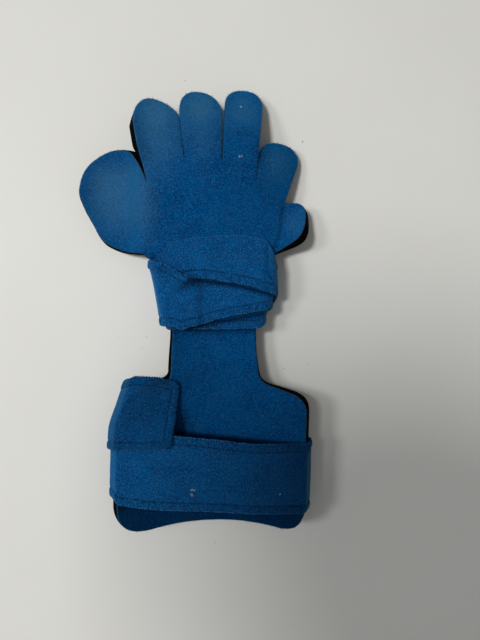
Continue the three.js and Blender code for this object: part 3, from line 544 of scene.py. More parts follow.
def taut_loop(y, mid, rests):
    a, b = coarse, np.roll(coarse, -1, axis=0)
    cross = (a[:, 1] > y) != (b[:, 1] > y)
    x = (b[cross, 0] - a[cross, 0]) * (y - a[cross, 1]) / (b[cross, 1] - a[cross, 1]) + a[cross, 0]
    left, right = x[x < mid].max(), x[x >= mid].min()
    xs = left + (right - left) * np.arange(41) / 40
    z = height(xs, y)
    slope = (height(xs + 0.4, y) - height(xs - 0.4, y)) / 0.8
    size = np.hypot(1, slope)
    points = list(rests) + list(zip(xs, z)) + list(zip(xs + slope / size * PAD, z - PAD / size))
    points.sort()

    def chain(items):
        kept = []
        for p in items:
            while len(kept) > 1:
                o, q = kept[-2], kept[-1]
                if (q[0] - o[0]) * (p[1] - o[1]) - (q[1] - o[1]) * (p[0] - o[0]) > 1e-9:
                    break
                kept.pop()
            kept.append(p)
        return kept[:-1]

    hull = (chain(points) + chain(points[::-1]))[::-1]
    samples = []
    for i, p in enumerate(hull):
        before, after = hull[i - 1], hull[(i + 1) % len(hull)]
        first = math.atan2(p[0] - before[0], -(p[1] - before[1]))
        second = math.atan2(after[0] - p[0], -(after[1] - p[1]))
        while second > first + 1e-9:
            second -= 2 * math.pi
        steps = max(1, math.ceil((first - second) / ARC_STEP))
        for k in range(steps + 1):
            turn = first + (second - first) * k / steps
            samples.append((p[0], p[1], math.cos(turn), math.sin(turn)))
    s = np.array(samples)
    dense = []
    for i in range(len(s)):
        j = (i + 1) % len(s)
        parts = max(1, math.ceil(math.hypot(*(s[j, :2] - s[i, :2])) / SECTION_STEP))
        for k in range(parts):
            p = s[i, :2] + (s[j, :2] - s[i, :2]) * k / parts
            dense.append((p[0], p[1], s[i, 2], s[i, 3]))
    d = np.array(dense)
    marks = [
        np.argmax(np.where(d[:, 3] > 0.5, -np.abs(d[:, 0] - mid), -1e6)),
        np.argmax(d[:, 2] + d[:, 0] * 1e-4),
        np.argmax(np.where(d[:, 3] < -0.5, -np.abs(d[:, 0] - mid), -1e6)),
        np.argmax(-d[:, 2] - d[:, 0] * 1e-4),
    ]
    out, sums = [], []
    for k in range(4):
        start, end = marks[k], marks[(k + 1) % 4]
        ids = np.arange(start, end + 1 if end > start else end + 1 + len(d)) % len(d)
        q = d[ids]
        length = np.hypot(np.diff(q[:, 0]), np.diff(q[:, 1]))
        bend = np.arccos(np.clip((q[1:, 2:] * q[:-1, 2:]).sum(1), -1, 1))
        total = np.concatenate([[0], np.cumsum(length / UNIT_LENGTH + bend / UNIT_BEND)])
        total += np.arange(len(total)) * 1e-9
        at = np.linspace(0, total[-1], QUARTER, endpoint=False)
        out.append(np.stack([np.interp(at, total, q[:, c]) for c in range(4)], axis=1))
        sums.append(total[-1])
    return np.concatenate(out), sums


class Strap:
    def __init__(self, place):
        self.place = place
        rows = place["rows"]
        one = [r["edge"] * place["length"] for r in rows]
        other = [e + r["width"] * STRAP_WIDTH for e, r in zip(one, rows)]
        upper = [max(p) for p in zip(one, other)]
        lower = [min(p) for p in zip(one, other)]
        ys = np.array([place["at"](v) for v in (min(lower) - 4, max(upper) + 4)])
        self.grid_y = np.arange(ys.min(), ys.max() + SECTION_STEP, SECTION_STEP)
        loops = [taut_loop(y, 0, place["rests"]) for y in self.grid_y]
        self.grid = np.stack([loop[0] for loop in loops])
        start = round((place["at"](upper[0]) - self.grid_y[0]) / SECTION_STEP)
        reference, self.sums = loops[int(np.clip(start, 0, len(loops) - 1))]
        qs = []
        for r in rows:
            if r["x"] is None:
                qs.append(r["q"])
                continue
            tries = np.arange(r["q"] - 1, r["q"] + 1, 0.002)
            at = (np.mod(tries, 4) * QUARTER).astype(int) % (4 * QUARTER)
            gap = np.abs(reference[at, 0] - r["x"] * place["across"])
            qs.append(tries[int(np.argmin(gap))])
        self.q0, self.q1 = qs[0], qs[-1]
        self.upper, self.lower = curve(qs, upper), curve(qs, lower)
        self.layer = curve(qs, [r["layer"] for r in rows])

    def at(self, q, t, lift, y=None):
        """Points of the strap: q round the loop, t from upper to lower edge, lift over the pad side."""
        q, t, lift = np.broadcast_arrays(*(np.asarray(v, float) for v in (q, t, lift)))
        place = self.place
        upper, lower = self.upper(q), self.lower(q)
        y = upper + (lower - upper) * t if y is None else y
        at_y = place["at"](y)
        fy = np.clip((at_y - self.grid_y[0]) / SECTION_STEP, 0, len(self.grid_y) - 1.001)
        iy = fy.astype(int)
        fy = (fy - iy)[..., None]
        fq = np.mod(q, 4) * QUARTER
        iq = fq.astype(int)
        fq = (fq - iq)[..., None]
        a, b = iq % (4 * QUARTER), (iq + 1) % (4 * QUARTER)
        g = self.grid
        p = (g[iy, a] * (1 - fq) + g[iy, b] * fq) * (1 - fy)
        p = p + (g[iy + 1, a] * (1 - fq) + g[iy + 1, b] * fq) * fy
        n = p[..., 2:] / np.linalg.norm(p[..., 2:], axis=-1)[..., None]
        reach = SNUG + self.layer(q) * LAYER + lift
        past = np.maximum(0, y - at_y)
        inward = place["taper"] * past * np.clip(-p[..., 0] / place["half"], 0, 1)
        x = p[..., 0] + inward + n[..., 0] * reach
        z = p[..., 1] + n[..., 1] * reach
        nz = np.clip(n[..., 1], 0, 1)
        half = place["half"]
        across = np.clip((x + half) / (2 * half), 0, 1)
        z = z - place["sag"](y) * np.sin(math.pi * across) ** 3 * nz
        if place["rides"]:
            ride = height(x, y) - height(x, at_y)
            z = z + np.where(y > at_y, ride, 0) * nz
        down = place["palm"](y, self.layer(q)) * nz * nz
        z = z + (height(np.clip(x, -half, half), y) + SNUG + lift - z) * down
        x, z = place["nudge"](q, x, y, z, lift, nz)
        return np.stack([x, y, z], axis=-1)

    def frame(self, q, t, y=None):
        """Places in the middle of the strap's thickness, and the way up from them."""
        here = self.at(q, t, STRAP / 2, y)
        up = self.at(q, t, STRAP / 2 + 1, y) - here
        return here, up / np.linalg.norm(up, axis=1)[:, None]

    def stops(self):
        out = [self.q0]
        while out[-1] < self.q1:
            out.append(out[-1] + 1 / self.sums[int(math.floor(out[-1] % 4))] / PER_UNIT)
        out = np.array(out)
        return self.q0 + (out - self.q0) * (self.q1 - self.q0) / (out[-1] - self.q0)


def row(q, edge, width, layer, x=None):
    return {"q": q, "x": x, "edge": edge, "width": width, "layer": layer}


WRIST_TOP = 0.225 * HAND_LENGTH
WRIST_ROWS = [
    row(2.55, 0.222, -0.88, 0), row(3, 0.222, -0.88, 0),
    row(4, 0.2202, -0.87, 0, -0.303), row(4, 0.2143, -0.856, 0, 0.01),
    row(4, 0.2143, -0.84, 0, 0.323), row(5, 0.2202, -0.81, 0),
    row(5.5, 0.222, -0.85, 0), row(6.4, 0.23, -0.85, 1), row(7, 0.232, -0.7, 1),
    row(8, 0.0893, 0.64, 1, -0.36), row(8, 0.155, 0.588, 1, -0.303),
    row(8, 0.1637, 0.582, 1, -0.242), row(8, 0.1708, 0.582, 1, -0.167),
    row(8, 0.1744, 0.58, 1, -0.13), row(8, 0.1744, 0.594, 2, -0.06),
    row(8, 0.1595, 0.672, 2, 0.115),
    row(8, 0.1399, 0.718, 2, 0.283), row(8, 0.1214, 0.74, 2, 0.36),
    row(9, 0.0952, 0.52, 2), row(9.6, 0.245, -0.8, 2), row(10, 0.245, -0.9, 2),
    row(10.6, 0.245, -0.93, 2), row(11, 0.253, -0.93, 2),
    row(12, 0.24, -0.9, 2, -0.36), row(12, 0.229, -0.866, 2, -0.315),
    row(12, 0.2083, -0.84, 2, -0.253),
    row(12, 0.1845, -0.72, 2, -0.167), row(12, 0.1785, -0.69, 2, -0.13),
    row(12, 0.176, -0.64, 1, -0.06), row(12, 0.1845, -0.632, 1, 0.01),
    row(12, 0.1964, -0.618, 1, 0.115),
    row(12, 0.2083, -0.606, 1, 0.279), row(12, 0.2083, -0.572, 1, 0.36),
    row(13, 0.2083, -0.54, 1), row(13.4, 0.2143, -0.6, 1),
]
FOREARM_ROWS = [
    row(2.45, -0.8889, 1, 0), row(3, -0.8072, 0.93, 0),
    row(4, -0.8529, 1.05, 0, -0.382), row(4, -0.8706, 1.056, 0, -0.214),
    row(4, -0.8824, 1.028, 0, 0), row(4, -0.8889, 0.992, 0, 0.244),
    row(4, -0.885, 0.998, 0, 0.427), row(5, -0.8758, 0.98, 0),
    row(5.5, -0.5229, -0.97, 1), row(6, -0.4248, -0.98, 1),
    row(6.4, -0.3529, -0.98, 1), row(7, -0.2843, -0.95, 1),
    row(8, -0.2536, -1.024, 1, -0.443), row(8, -0.2601, -1.01, 1, -0.351),
    row(8, -0.2784, -0.948, 1, -0.267), row(8, -0.2889, -0.888, 1, -0.229),
    row(8, -0.3137, -0.72, 1, -0.203),
]


def wrist_palm(y, layer):
    return np.where(layer < 1, 0, smooth((y - 0.226 * HAND_LENGTH) / (0.071 * HAND_LENGTH)))


def wrist_nudge(q, x, y, z, lift, facing):
    """The wrap stands off the neck on the little finger side, more so lower down."""
    share = np.clip(x / 38, 0, 1) ** 3
    return x + share * (0.8 + 4.2 * smooth((50 - y) / 30)), z + 1.6 * share * facing


def forearm_nudge(q, x, y, z, lift, facing):
    """The tab's free end settles onto the pad, past the band."""
    settle = smooth((y + 84) / 24) * smooth((x + 66) / 32) * smooth((q - 6.8) / 0.6)
    resting = height(x, y) + 1.2 + lift
    return x, z + np.minimum(0, np.maximum(resting - z, -7.5 * settle)) * facing


WRIST_PLACE = {
    "rows": WRIST_ROWS, "length": HAND_LENGTH, "across": HAND_WIDTH,
    "at": lambda y: np.where(y > WRIST_TOP, WRIST_TOP, WRIST_TOP - (WRIST_TOP - y) * 0.92),
    "rests": [(s * NECK_WIDTH, under_strap(3)) for s in (-0.475, 0.51)],
    "half": 0.4 * HAND_WIDTH, "sag": lambda y: WRIST_SAG, "palm": wrist_palm, "rides": True,
    "taper": 0, "nudge": wrist_nudge,
}
FOREARM_PLACE = {
    "rows": FOREARM_ROWS, "length": FOREARM_LENGTH, "across": FOREARM_WIDTH,
    "at": lambda y: np.clip(y, -0.876 * FOREARM_LENGTH, -0.438 * FOREARM_LENGTH),
    "rests": [(s * FOREARM_WIDTH, under_strap(2)) for s in (-0.229, 0.214)],
    "half": 0.49 * FOREARM_WIDTH,
    "sag": lambda y: FOREARM_SAG * (1 + smooth((y / FOREARM_LENGTH + 0.549) / 0.196)),
    "palm": lambda y, layer: 0.0 * y, "rides": False,
    "taper": 0.34, "nudge": forearm_nudge,
}

BAND = 5.6
PITCH = 1.9
# Strips narrower than this take a narrower border.
FULL_BORDER = 17
# Turns between which the wrist strap's upper edge lies flush on the palm, and how softly it starts.
FLUSH = (7.3, 9.0)
FLUSH_EASE = 0.15
BORDER = np.array([0, 0.12, 0.35, 0.7, 1.2, 1.9, 2.7, 3.6, 4.5, 5.2, 5.7, 6.1, 6.6, 7.4])
INNER = np.linspace(0, 1, 36)[1:-1]


def edge_shape(e, s):
    """How far the top stands up by the overlocked band, at e from the edge and s along it."""
    dome = 0.34 * np.sin(math.pi * np.clip(e / BAND, 0, 1)) ** 0.7
    groove = -0.42 * np.exp(-((e - BAND - 0.4) / 0.6) ** 2)
    lumps = 0.1 * np.sin(2 * math.pi * s / PITCH + e * 0.9) * np.exp(-((e - 2.4) / 2.4) ** 2)
    return dome + groove + lumps


def strap_mesh(name, strap, wrinkle, painted_shade, flush=False):
    qs = strap.stops()
    middle = strap.at(qs, 0.5, STRAP)
    s_along = np.concatenate([[0], np.cumsum(np.linalg.norm(np.diff(middle, axis=0), axis=1))])
    width = strap.upper(qs) - strap.lower(qs)
    v = np.empty((len(qs), 2 * len(BORDER) + len(INNER)))
    for i, w in enumerate(width):
        f = BORDER * min(1, w / FULL_BORDER)
        v[i] = np.concatenate([f, f[-1] + (w - 2 * f[-1]) * INNER, w - f[::-1]])
    t = v / width[:, None]
    e = np.minimum(v, width[:, None] - v)
    s = np.broadcast_to(s_along[:, None], e.shape)
    e_end = np.minimum(s_along, s_along[-1] - s_along)[:, None] + 0 * e
    q = np.broadcast_to(qs[:, None], e.shape)
    near = np.clip(1 - np.minimum(e, e_end), 0, 1)
    body = np.sqrt(np.maximum(1 - near * near, 0))
    shape = edge_shape(e, s)
    shape_end = edge_shape(e_end, v)
    shape = np.where(e_end < e, shape_end, shape) + np.where(e_end < 12, 0.3 * shape, 0)
    plain = np.zeros_like(e)
    if flush:
        plain = smooth((q - FLUSH[0]) / FLUSH_EASE) * smooth((FLUSH[1] - q) / FLUSH_EASE)
        plain = plain * (v < width[:, None] * 0.5)
    shape = shape * (1 - plain)
    flat = np.stack([s.ravel(), v.ravel()], axis=1)
    ripple = (0.16 * value_noise(flat, 14, 11) + 0.1 * value_noise(flat, 5.5, 12)).reshape(e.shape)
    mid = STRAP / 2
    # Ragged edges: the border wanders a little in and out.
    wander = 0.32 * value_noise(flat, 4.2, 13).reshape(e.shape) * np.exp(-e / 3)
    side = np.where(v < width[:, None] / 2, 1, -1)
    base_top = strap.at(q, t, mid + mid * body)
    lifted = strap.at(q, t, mid + (mid + 1.0) * body)
    up = lifted - base_top
    up /= np.maximum(np.linalg.norm(up, axis=-1)[..., None], 1e-9)
    extra = (shape + ripple) * body + wrinkle(q, base_top)
    top = base_top + up * extra[..., None]
    low = strap.at(q, t, mid - mid * body)
    for part in (top, low):
        part[..., 1] += wander * side
    n, m = e.shape
    vertices = np.concatenate([top.reshape(-1, 3), low.reshape(-1, 3)])
    cloth = np.column_stack([np.tile(flat[:, 0], 2), np.tile(flat[:, 1], 2),
                             np.repeat([0.0, 3.0], n * m)])
    faces = []
    off = n * m
    for i in range(n - 1):
        for j in range(m - 1):
            a = i * m + j
            faces.append((a, a + 1, a + m + 1, a + m))
            faces.append((off + a + m, off + a + m + 1, off + a + 1, off + a))
        a, b = i * m, i * m + m - 1
        faces.append((a + m, off + a + m, off + a, a))
        faces.append((b, off + b, off + b + m, b + m))
    last = (n - 1) * m
    for j in range(m - 1):
        faces.append((j, off + j, off + j + 1, j + 1))
        faces.append((last + j + 1, off + last + j + 1, off + last + j, last + j))
    obj = add_mesh(name, vertices, faces)
    attribute(obj, "cloth", "FLOAT_VECTOR", cloth)
    band = (np.minimum(e, e_end) + 40 * plain).ravel()
    attribute(obj, "edge", "FLOAT", np.tile(band, 2))
    # Painted shade from the strap's shade function, on both sides.
    attribute(obj, "painted_shade", "FLOAT", np.tile(painted_shade(q, top[..., 0], top[..., 1]).ravel(), 2))
    return obj, s_along[-1]


def tube(path, ups, radius, sides):
    """Closed tube along a path, as vertices and faces; radius may vary."""
    path = np.asarray(path)
    tangent = np.gradient(path, axis=0)
    tangent /= np.maximum(np.linalg.norm(tangent, axis=1)[:, None], 1e-9)
    across = np.cross(tangent, ups)
    across /= np.maximum(np.linalg.norm(across, axis=1)[:, None], 1e-9)
    over = np.cross(across, tangent)
    radius = np.broadcast_to(radius, (len(path),))[:, None]
    rings = []
    for k in range(sides):
        turn = 2 * math.pi * k / sides
        rings.append(path + (across * math.cos(turn) + over * math.sin(turn)) * radius)
    vertices = np.stack(rings, axis=1).reshape(-1, 3)
    faces = []
    for i in range(len(path) - 1):
        for k in range(sides):
            a, b = i * sides + k, i * sides + (k + 1) % sides
            faces.append((a, b, b + sides, a + sides))
    faces.append(tuple(range(sides - 1, -1, -1)))
    end = (len(path) - 1) * sides
    faces.append(tuple(range(end, end + sides)))
    return vertices, faces


def join(parts):
    vertices, faces, start = [], [], 0
    for v, f in parts:
        vertices.append(v)
        faces += [tuple(i + start for i in face) for face in f]
        start += len(v)
    return np.concatenate(vertices), faces


# One stitch over an edge: share of the pitch, distance from the edge, height over the middle.
STITCH = np.array([
    (0.0, BAND + 0.1, 0.5), (0.1, BAND - 0.8, 1.13), (0.24, 3.4, 1.3), (0.36, 1.7, 1.24),
    (0.46, 0.35, 0.95), (0.54, -0.3, 0.0), (0.62, 0.5, -0.9), (0.74, 2.4, -1.0),
    (0.9, BAND - 0.6, -0.95), (0.97, BAND, -0.2),
])
THREAD = 0.22
# A loop on the edge, lit with a painted highlight, and a chain stitch at the seam: shares of the pitch,
# heights, radii.
LOOP = (np.array([0.05, 0.3, 0.62]), np.array([0.85, 1.12, 0.85]), [0.14, 0.27, 0.14])
CHAIN = (np.array([0.1, 0.35, 0.6, 0.8]), np.array([0.3, 0.62, 0.62, 0.3]), [0.1, 0.24, 0.24, 0.1])


def overlock(name, strap, wrinkle, painted_shade, flush=False):
    """Threads that wrap the long edges and the ends, with a chain along the needle line."""
    share, out, rise = STITCH.T
    qs = strap.stops()
    parts, painted_shades, painted_highlights = [], [], []

    def thread_along(q, path, up, radius, painted_highlight=0.0):
        parts.append(tube(path, up, radius, 4))
        # Each thread takes the painted shade at its middle.
        value = float(painted_shade(q.mean(), path[:, 0].mean(), path[:, 1].mean()))
        painted_shades.extend([value] * len(parts[-1][0]))
        painted_highlights.extend([painted_highlight] * len(parts[-1][0]))

    def border(q):
        return strap.upper(q) - strap.lower(q)

    def sew(q, e, h, side, radius, painted_highlight=0.0):
        """A thread at distances e from one long edge; what lies on top follows the wrinkles."""
        t = e / border(q) if side == 0 else 1 - e / border(q)
        here, up = strap.frame(q, t)
        h = h + np.where(h > 0.2, wrinkle(q, here), 0)
        thread_along(q, here + up * h[:, None], up, radius, painted_highlight)

    for side in (0, 1):
        edge = strap.at(qs, side, STRAP / 2)
        length = np.concatenate([[0], np.cumsum(np.linalg.norm(np.diff(edge, axis=0), axis=1))])
        for k in range(int(length[-1] / PITCH)):
            drift, pull = rng.uniform(-0.32, 0.32), rng.uniform(-0.7, 0.35)
            slant, loft = rng.uniform(-0.5, 0.5), rng.uniform(-0.2, 0.2)
            s = np.clip((share + k + drift + slant * out / BAND) * PITCH, 0, length[-1])
            q = np.interp(s, length, qs)
            if flush and side == 0 and FLUSH[0] + 0.05 < q[0] < FLUSH[1] - 0.05:
                continue
            e = (out + pull * (out > 3)) * np.minimum(1, border(q) / FULL_BORDER)
            sew(q, e, rise + loft * (rise > 0.6) + 0.06 * (rise > 1), side, THREAD)
            q = np.interp((LOOP[0] + k + 0.3 * drift) * PITCH, length, qs)
            # The edge loops carry a painted highlight.
            sew(q, 0.35 - 0.2 * pull, LOOP[1], side, LOOP[2], 0.35 + slant)
            q = np.interp((CHAIN[0] + k) * PITCH, length, qs)
            e = (BAND + 0.5 + 0.3 * drift) * np.minimum(1, border(q) / FULL_BORDER)
            sew(q, e, CHAIN[1], side, CHAIN[2])
    for q_end, way in ((strap.q0, 1), (strap.q1, -1)):
        w = float(border(q_end))
        gone = strap.at([q_end - 0.02, q_end], 0.5, 1.0)
        per_mm = way * 0.02 / np.linalg.norm(gone[1] - gone[0])
        count = int(w / PITCH)
        for k in range(count):
            drift, pull = rng.uniform(-0.3, 0.3), rng.uniform(-0.7, 0.35)
            q = q_end + (out + pull * (out > 3)) * per_mm
            t = np.clip((share + k + drift) / count, 0, 1)
            here, up = strap.frame(q, t, strap.upper(q_end) - w * t)
            thread_along(q, here + up * (rise + 0.08 * (rise > 0))[:, None], up, THREAD)
    obj = add_mesh(name, *join(parts))
    attribute(obj, "painted_shade", "FLOAT", painted_shades)
    attribute(obj, "painted_highlight", "FLOAT", np.clip(painted_highlights, 0, 0.85))
    return obj


def gauss(x, y, at, reach, turn=0.0):
    c, s = math.cos(turn), math.sin(turn)
    dx, dy = x - at[0], y - at[1]
    u, v = (dx * c + dy * s) / reach[0], (-dx * s + dy * c) / reach[1]
    return np.exp(-(u * u + v * v))


# Swells and dips on top of the straps: height, place, reach, turn.
UPPER_FOLDS = [
    (-1.3, (-9, 31), (7, 3), -0.1), (0.7, (12, 31), (18, 4), -0.16),
    (-0.35, (8, 37.5), (22, 1.6), -0.14), (0.35, (-26, 45), (9, 5), 0.4),
]
LOWER_FOLDS = [
    (1.7, (-36, 36.5), (7, 3.2), -0.5), (1.1, (-25, 34), (8, 2.2), -0.2),
    (-1.8, (-9, 27.5), (6.5, 2.6), -0.1), (-1.1, (8, 25.5), (15, 2.2), -0.12),
    (-0.9, (-20, 21.5), (10, 1.9), 0.62), (0.9, (-22, 26), (9, 2.4), 0.3),
    (0.6, (-13, 16.5), (12, 2.4), 0.5), (-0.45, (-24, 12), (9, 1.7), 0.75),
    (0.5, (8, 19), (16, 3), -0.1), (-0.5, (10, 13), (15, 1.6), 0.12),
    (0.35, (22, 9.5), (12, 2), 0.14), (0.4, (-34, 8), (4, 12), 0.2), (-0.4, (-29, 4), (2.2, 9), 0.15),
]
FOREARM_FOLDS = [(0.5, (-35, -112), (18, 12)), (-0.4, (-5, -104), (30, 5))]
TAB_FOLDS = [(0.35, (-44, -58), (7, 12)), (-0.3, (-34, -66), (3, 12), 0.1)]


def folds(rows, x, y):
    return sum(r[0] * gauss(x, y, *r[1:]) for r in rows)


def wrist_layers(q):
    """Which places are on the upper, the lower and the hindmost of the front layers."""
    return (q > 7.2) & (q < 9.2), (q > 11.2) & (q < 13), (q > 3.2) & (q < 4.8)


def wrist_wrinkle(q, p):
    x, y = p[..., 0], p[..., 1]
    is_upper, is_lower, _ = wrist_layers(q)
    line = np.exp(-((x - 38.2 - 0.12 * np.maximum(0, 32 - y)) / 0.8) ** 2)
    upper = folds(UPPER_FOLDS, x, y) - 1.2 * line * smooth((y - 24) / 5) * smooth((54 - y) / 5)
    return np.where(is_upper, upper, 0) + np.where(is_lower, folds(LOWER_FOLDS, x, y), 0)


def forearm_wrinkle(q, p):
    x, y = p[..., 0], p[..., 1]
    front = (q > 3.2) & (q < 4.9)
    return (np.where(front, folds(FOREARM_FOLDS, x, y), 0)
            + np.where(q > 7.2, folds(TAB_FOLDS, x, y), 0))


def wrist_painted_shade(q, x, y):
    """Painted shade where the strap dips under its own folds and edges, along the hind layer's lower
    edge, in the crease near the little finger side and in the hollow by the lip; less of it right of that
    crease, where a painted sheen shows the strap turning round the rim.
    """
    is_upper, is_lower, is_hind = wrist_layers(q)
    upper_edge = 29.2 - 0.09 * (x + 8) - 0.0023 * (x + 8) ** 2
    lower = 0.84 * np.exp(-((y - upper_edge + 1.2) / 2.1) ** 2) * smooth((x + 19) / 8)
    lower = lower + 0.55 * gauss(x, y, (-17, 24.5), (7.5, 3.6), 0.5) + 0.05
    lower_edge = -2.4 + 0.19 * (x + 6)
    hind = 0.8 * np.exp(-((y - lower_edge + 1.1) / 2.0) ** 2) + 0.1
    fold = 39.2 + 0.5 * np.maximum(0, 34 - y)
    upper = 0.55 * np.exp(-((x - fold) / 0.7) ** 2) * smooth((y - 24) / 5) * smooth((54 - y) / 4)
    upper = upper + 0.1 - 0.1 * smooth((x - fold) / 1.5) + 0.8 * gauss(x, y, (-40.5, 39.5), (2.8, 3.6))
    return np.clip(np.select([is_hind, is_lower, is_upper], [hind, lower, upper], 0.1), 0, 0.85)


def forearm_painted_shade(q, x, y):
    """Painted shade, deeper towards the little finger side, where the band lies in the table's shade and
    turns away from the lamp; the tab and the other turns are evenly darker.
    """
    band = 0.06 + 0.26 * smooth((x + 40) / 60) + 0.36 * smooth((x - 12) / 55)
    return np.clip(np.select([q > 6.2, q < 5.2], [0.31, band], 0.3), 0, 0.85)


def face_painted_shade(x, y):
    """Painted shade: under and below the forearm band, towards the forearm and its lower right, just
    below the wrist strap, in the hollow by its lip, in the side lobe's crease, and where the ring finger
    shades the little finger.
    """
    band_top = -83.6 - 0.095 * x + 0.0006 * x * x
    covered = smooth((band_top + 1.6 - y) / 2.6)
    painted_shade = 0.88 * covered - 0.3 * smooth((-131 - y) / 4) * covered
    painted_shade = painted_shade + 0.12 * smooth((-18 - y) / 30) + 0.1 * smooth((x - 20) / 40) * smooth((-50 - y) / 20)
    painted_shade = painted_shade + 0.55 * np.exp(-((y + 7.6) / 1.9) ** 2)
    painted_shade = painted_shade + 0.85 * gauss(x, y, (-40.5, 43.0), (3.4, 2.0), -0.5)
    crease = 50.9 - 0.0062 * np.maximum(0, 82 - y) ** 2
    crease = np.where(y > 82, 51.5 + 0.5 * (y - 82), np.maximum(crease, 43.5))
    by_lobe = smooth((y - 48) / 5) * smooth((86 - y) / 3)
    painted_shade = painted_shade + 0.5 * np.exp(-((x - crease + 0.4) / 1.3) ** 2) * by_lobe
    painted_shade = painted_shade + 0.22 * np.exp(-((x - 35) / 5) ** 2) * smooth((y - 108) / 6) * smooth((132 - y) / 6)
    return np.clip(painted_shade, 0, 0.9)


# Where the nap is paler, part wear and part painted sheen and light where fingertips, thumb and side lobe
# face the lamp: x, y, reach across, reach along, amount.
WEAR_AND_SHEEN = [
    (-40, 146, 15, 20, 0.34), (-8, 150, 12, 15, 0.34), (22, 150, 11, 14, 0.2),
    (-36, 118, 14, 16, 0.16), (-6, 122, 11, 14, 0.1), (-70, 86, 17, 22, 0.3),
    (-82, 98, 10, 18, 0.14), (46, 112, 10, 12, 0.14), (60, 70, 9, 10, 0.12),
    (-47, 82, 8, 24, 0.18), (-68, 105, 15, 9, 0.12),
]


# Materials. The pale nap (wear and painted sheen), painted shade and painted highlights come from values
# painted on the meshes.
def srgb(r, g, b):
    out = []
    for c in (r, g, b):
        c /= 255
        out.append(c / 12.92 if c <= 0.04045 else ((c + 0.055) / 1.055) ** 2.4)
    return (*out, 1)


class Nodes:
    """Small helper that builds a material's node tree."""

    def __init__(self, name):
        self.material = bpy.data.materials.new(name)
        self.material.use_nodes = True
        self.tree = self.material.node_tree
        self.tree.nodes.clear()

    def add(self, kind, values=None, **settings):
        node = self.tree.nodes.new(kind)
        for key, value in settings.items():
            setattr(node, key, value)
        for key, value in (values or {}).items():
            if isinstance(value, bpy.types.NodeSocket):
                self.tree.links.new(value, node.inputs[key])
            else:
                node.inputs[key].default_value = value
        return node

    def painted(self, name, output="Fac"):
        return self.add("ShaderNodeAttribute", attribute_name=name).outputs[output]

    def noise(self, vector, scale, detail=2.0, roughness=0.5, distortion=0.0):
        return self.add("ShaderNodeTexNoise", {
            "Vector": vector, "Scale": scale, "Detail": detail,
            "Roughness": roughness, "Distortion": distortion}).outputs["Fac"]

    def math(self, operation, a, b=0.0, clamp=False):
        return self.add("ShaderNodeMath", {0: a, 1: b}, operation=operation,
                        use_clamp=clamp).outputs[0]

    def times(self, a, b):
        return self.math("MULTIPLY", a, b)

    def spread(self, value, low, high, to_low=0.0, to_high=1.0):
        return self.add("ShaderNodeMapRange", {
            "Value": value, "From Min": low, "From Max": high,
            "To Min": to_low, "To Max": to_high}, clamp=True).outputs["Result"]

    def mix(self, factor, a, b):
        node = self.add("ShaderNodeMix", {"Factor": factor}, data_type="RGBA")
        for name, value in (("A", a), ("B", b)):
            socket = [s for s in node.inputs if s.name == name and s.type == "RGBA"][0]
            if isinstance(value, bpy.types.NodeSocket):
                self.tree.links.new(value, socket)
            else:
                socket.default_value = value
        return [s for s in node.outputs if s.type == "RGBA"][0]

    def finish(self, shader):
        out = self.add("ShaderNodeOutputMaterial")
        self.tree.links.new(shader, out.inputs["Surface"])
        return self.material


# Navy that painted shade darkens towards.
SHADE_NAVY = (0.0, 0.0038, 0.026, 1)
# Colour of the painted glints on loop tips.
GLINT_COLOR = (0.025, 0.24, 0.47, 1)
SEAM = (0.0, 0.006, 0.02, 1)
# Colour of the painted highlight on the overlock's edge loops.
THREAD_HIGHLIGHT = (0.12, 0.38, 0.62, 1)
PALE = srgb(84, 138, 170)


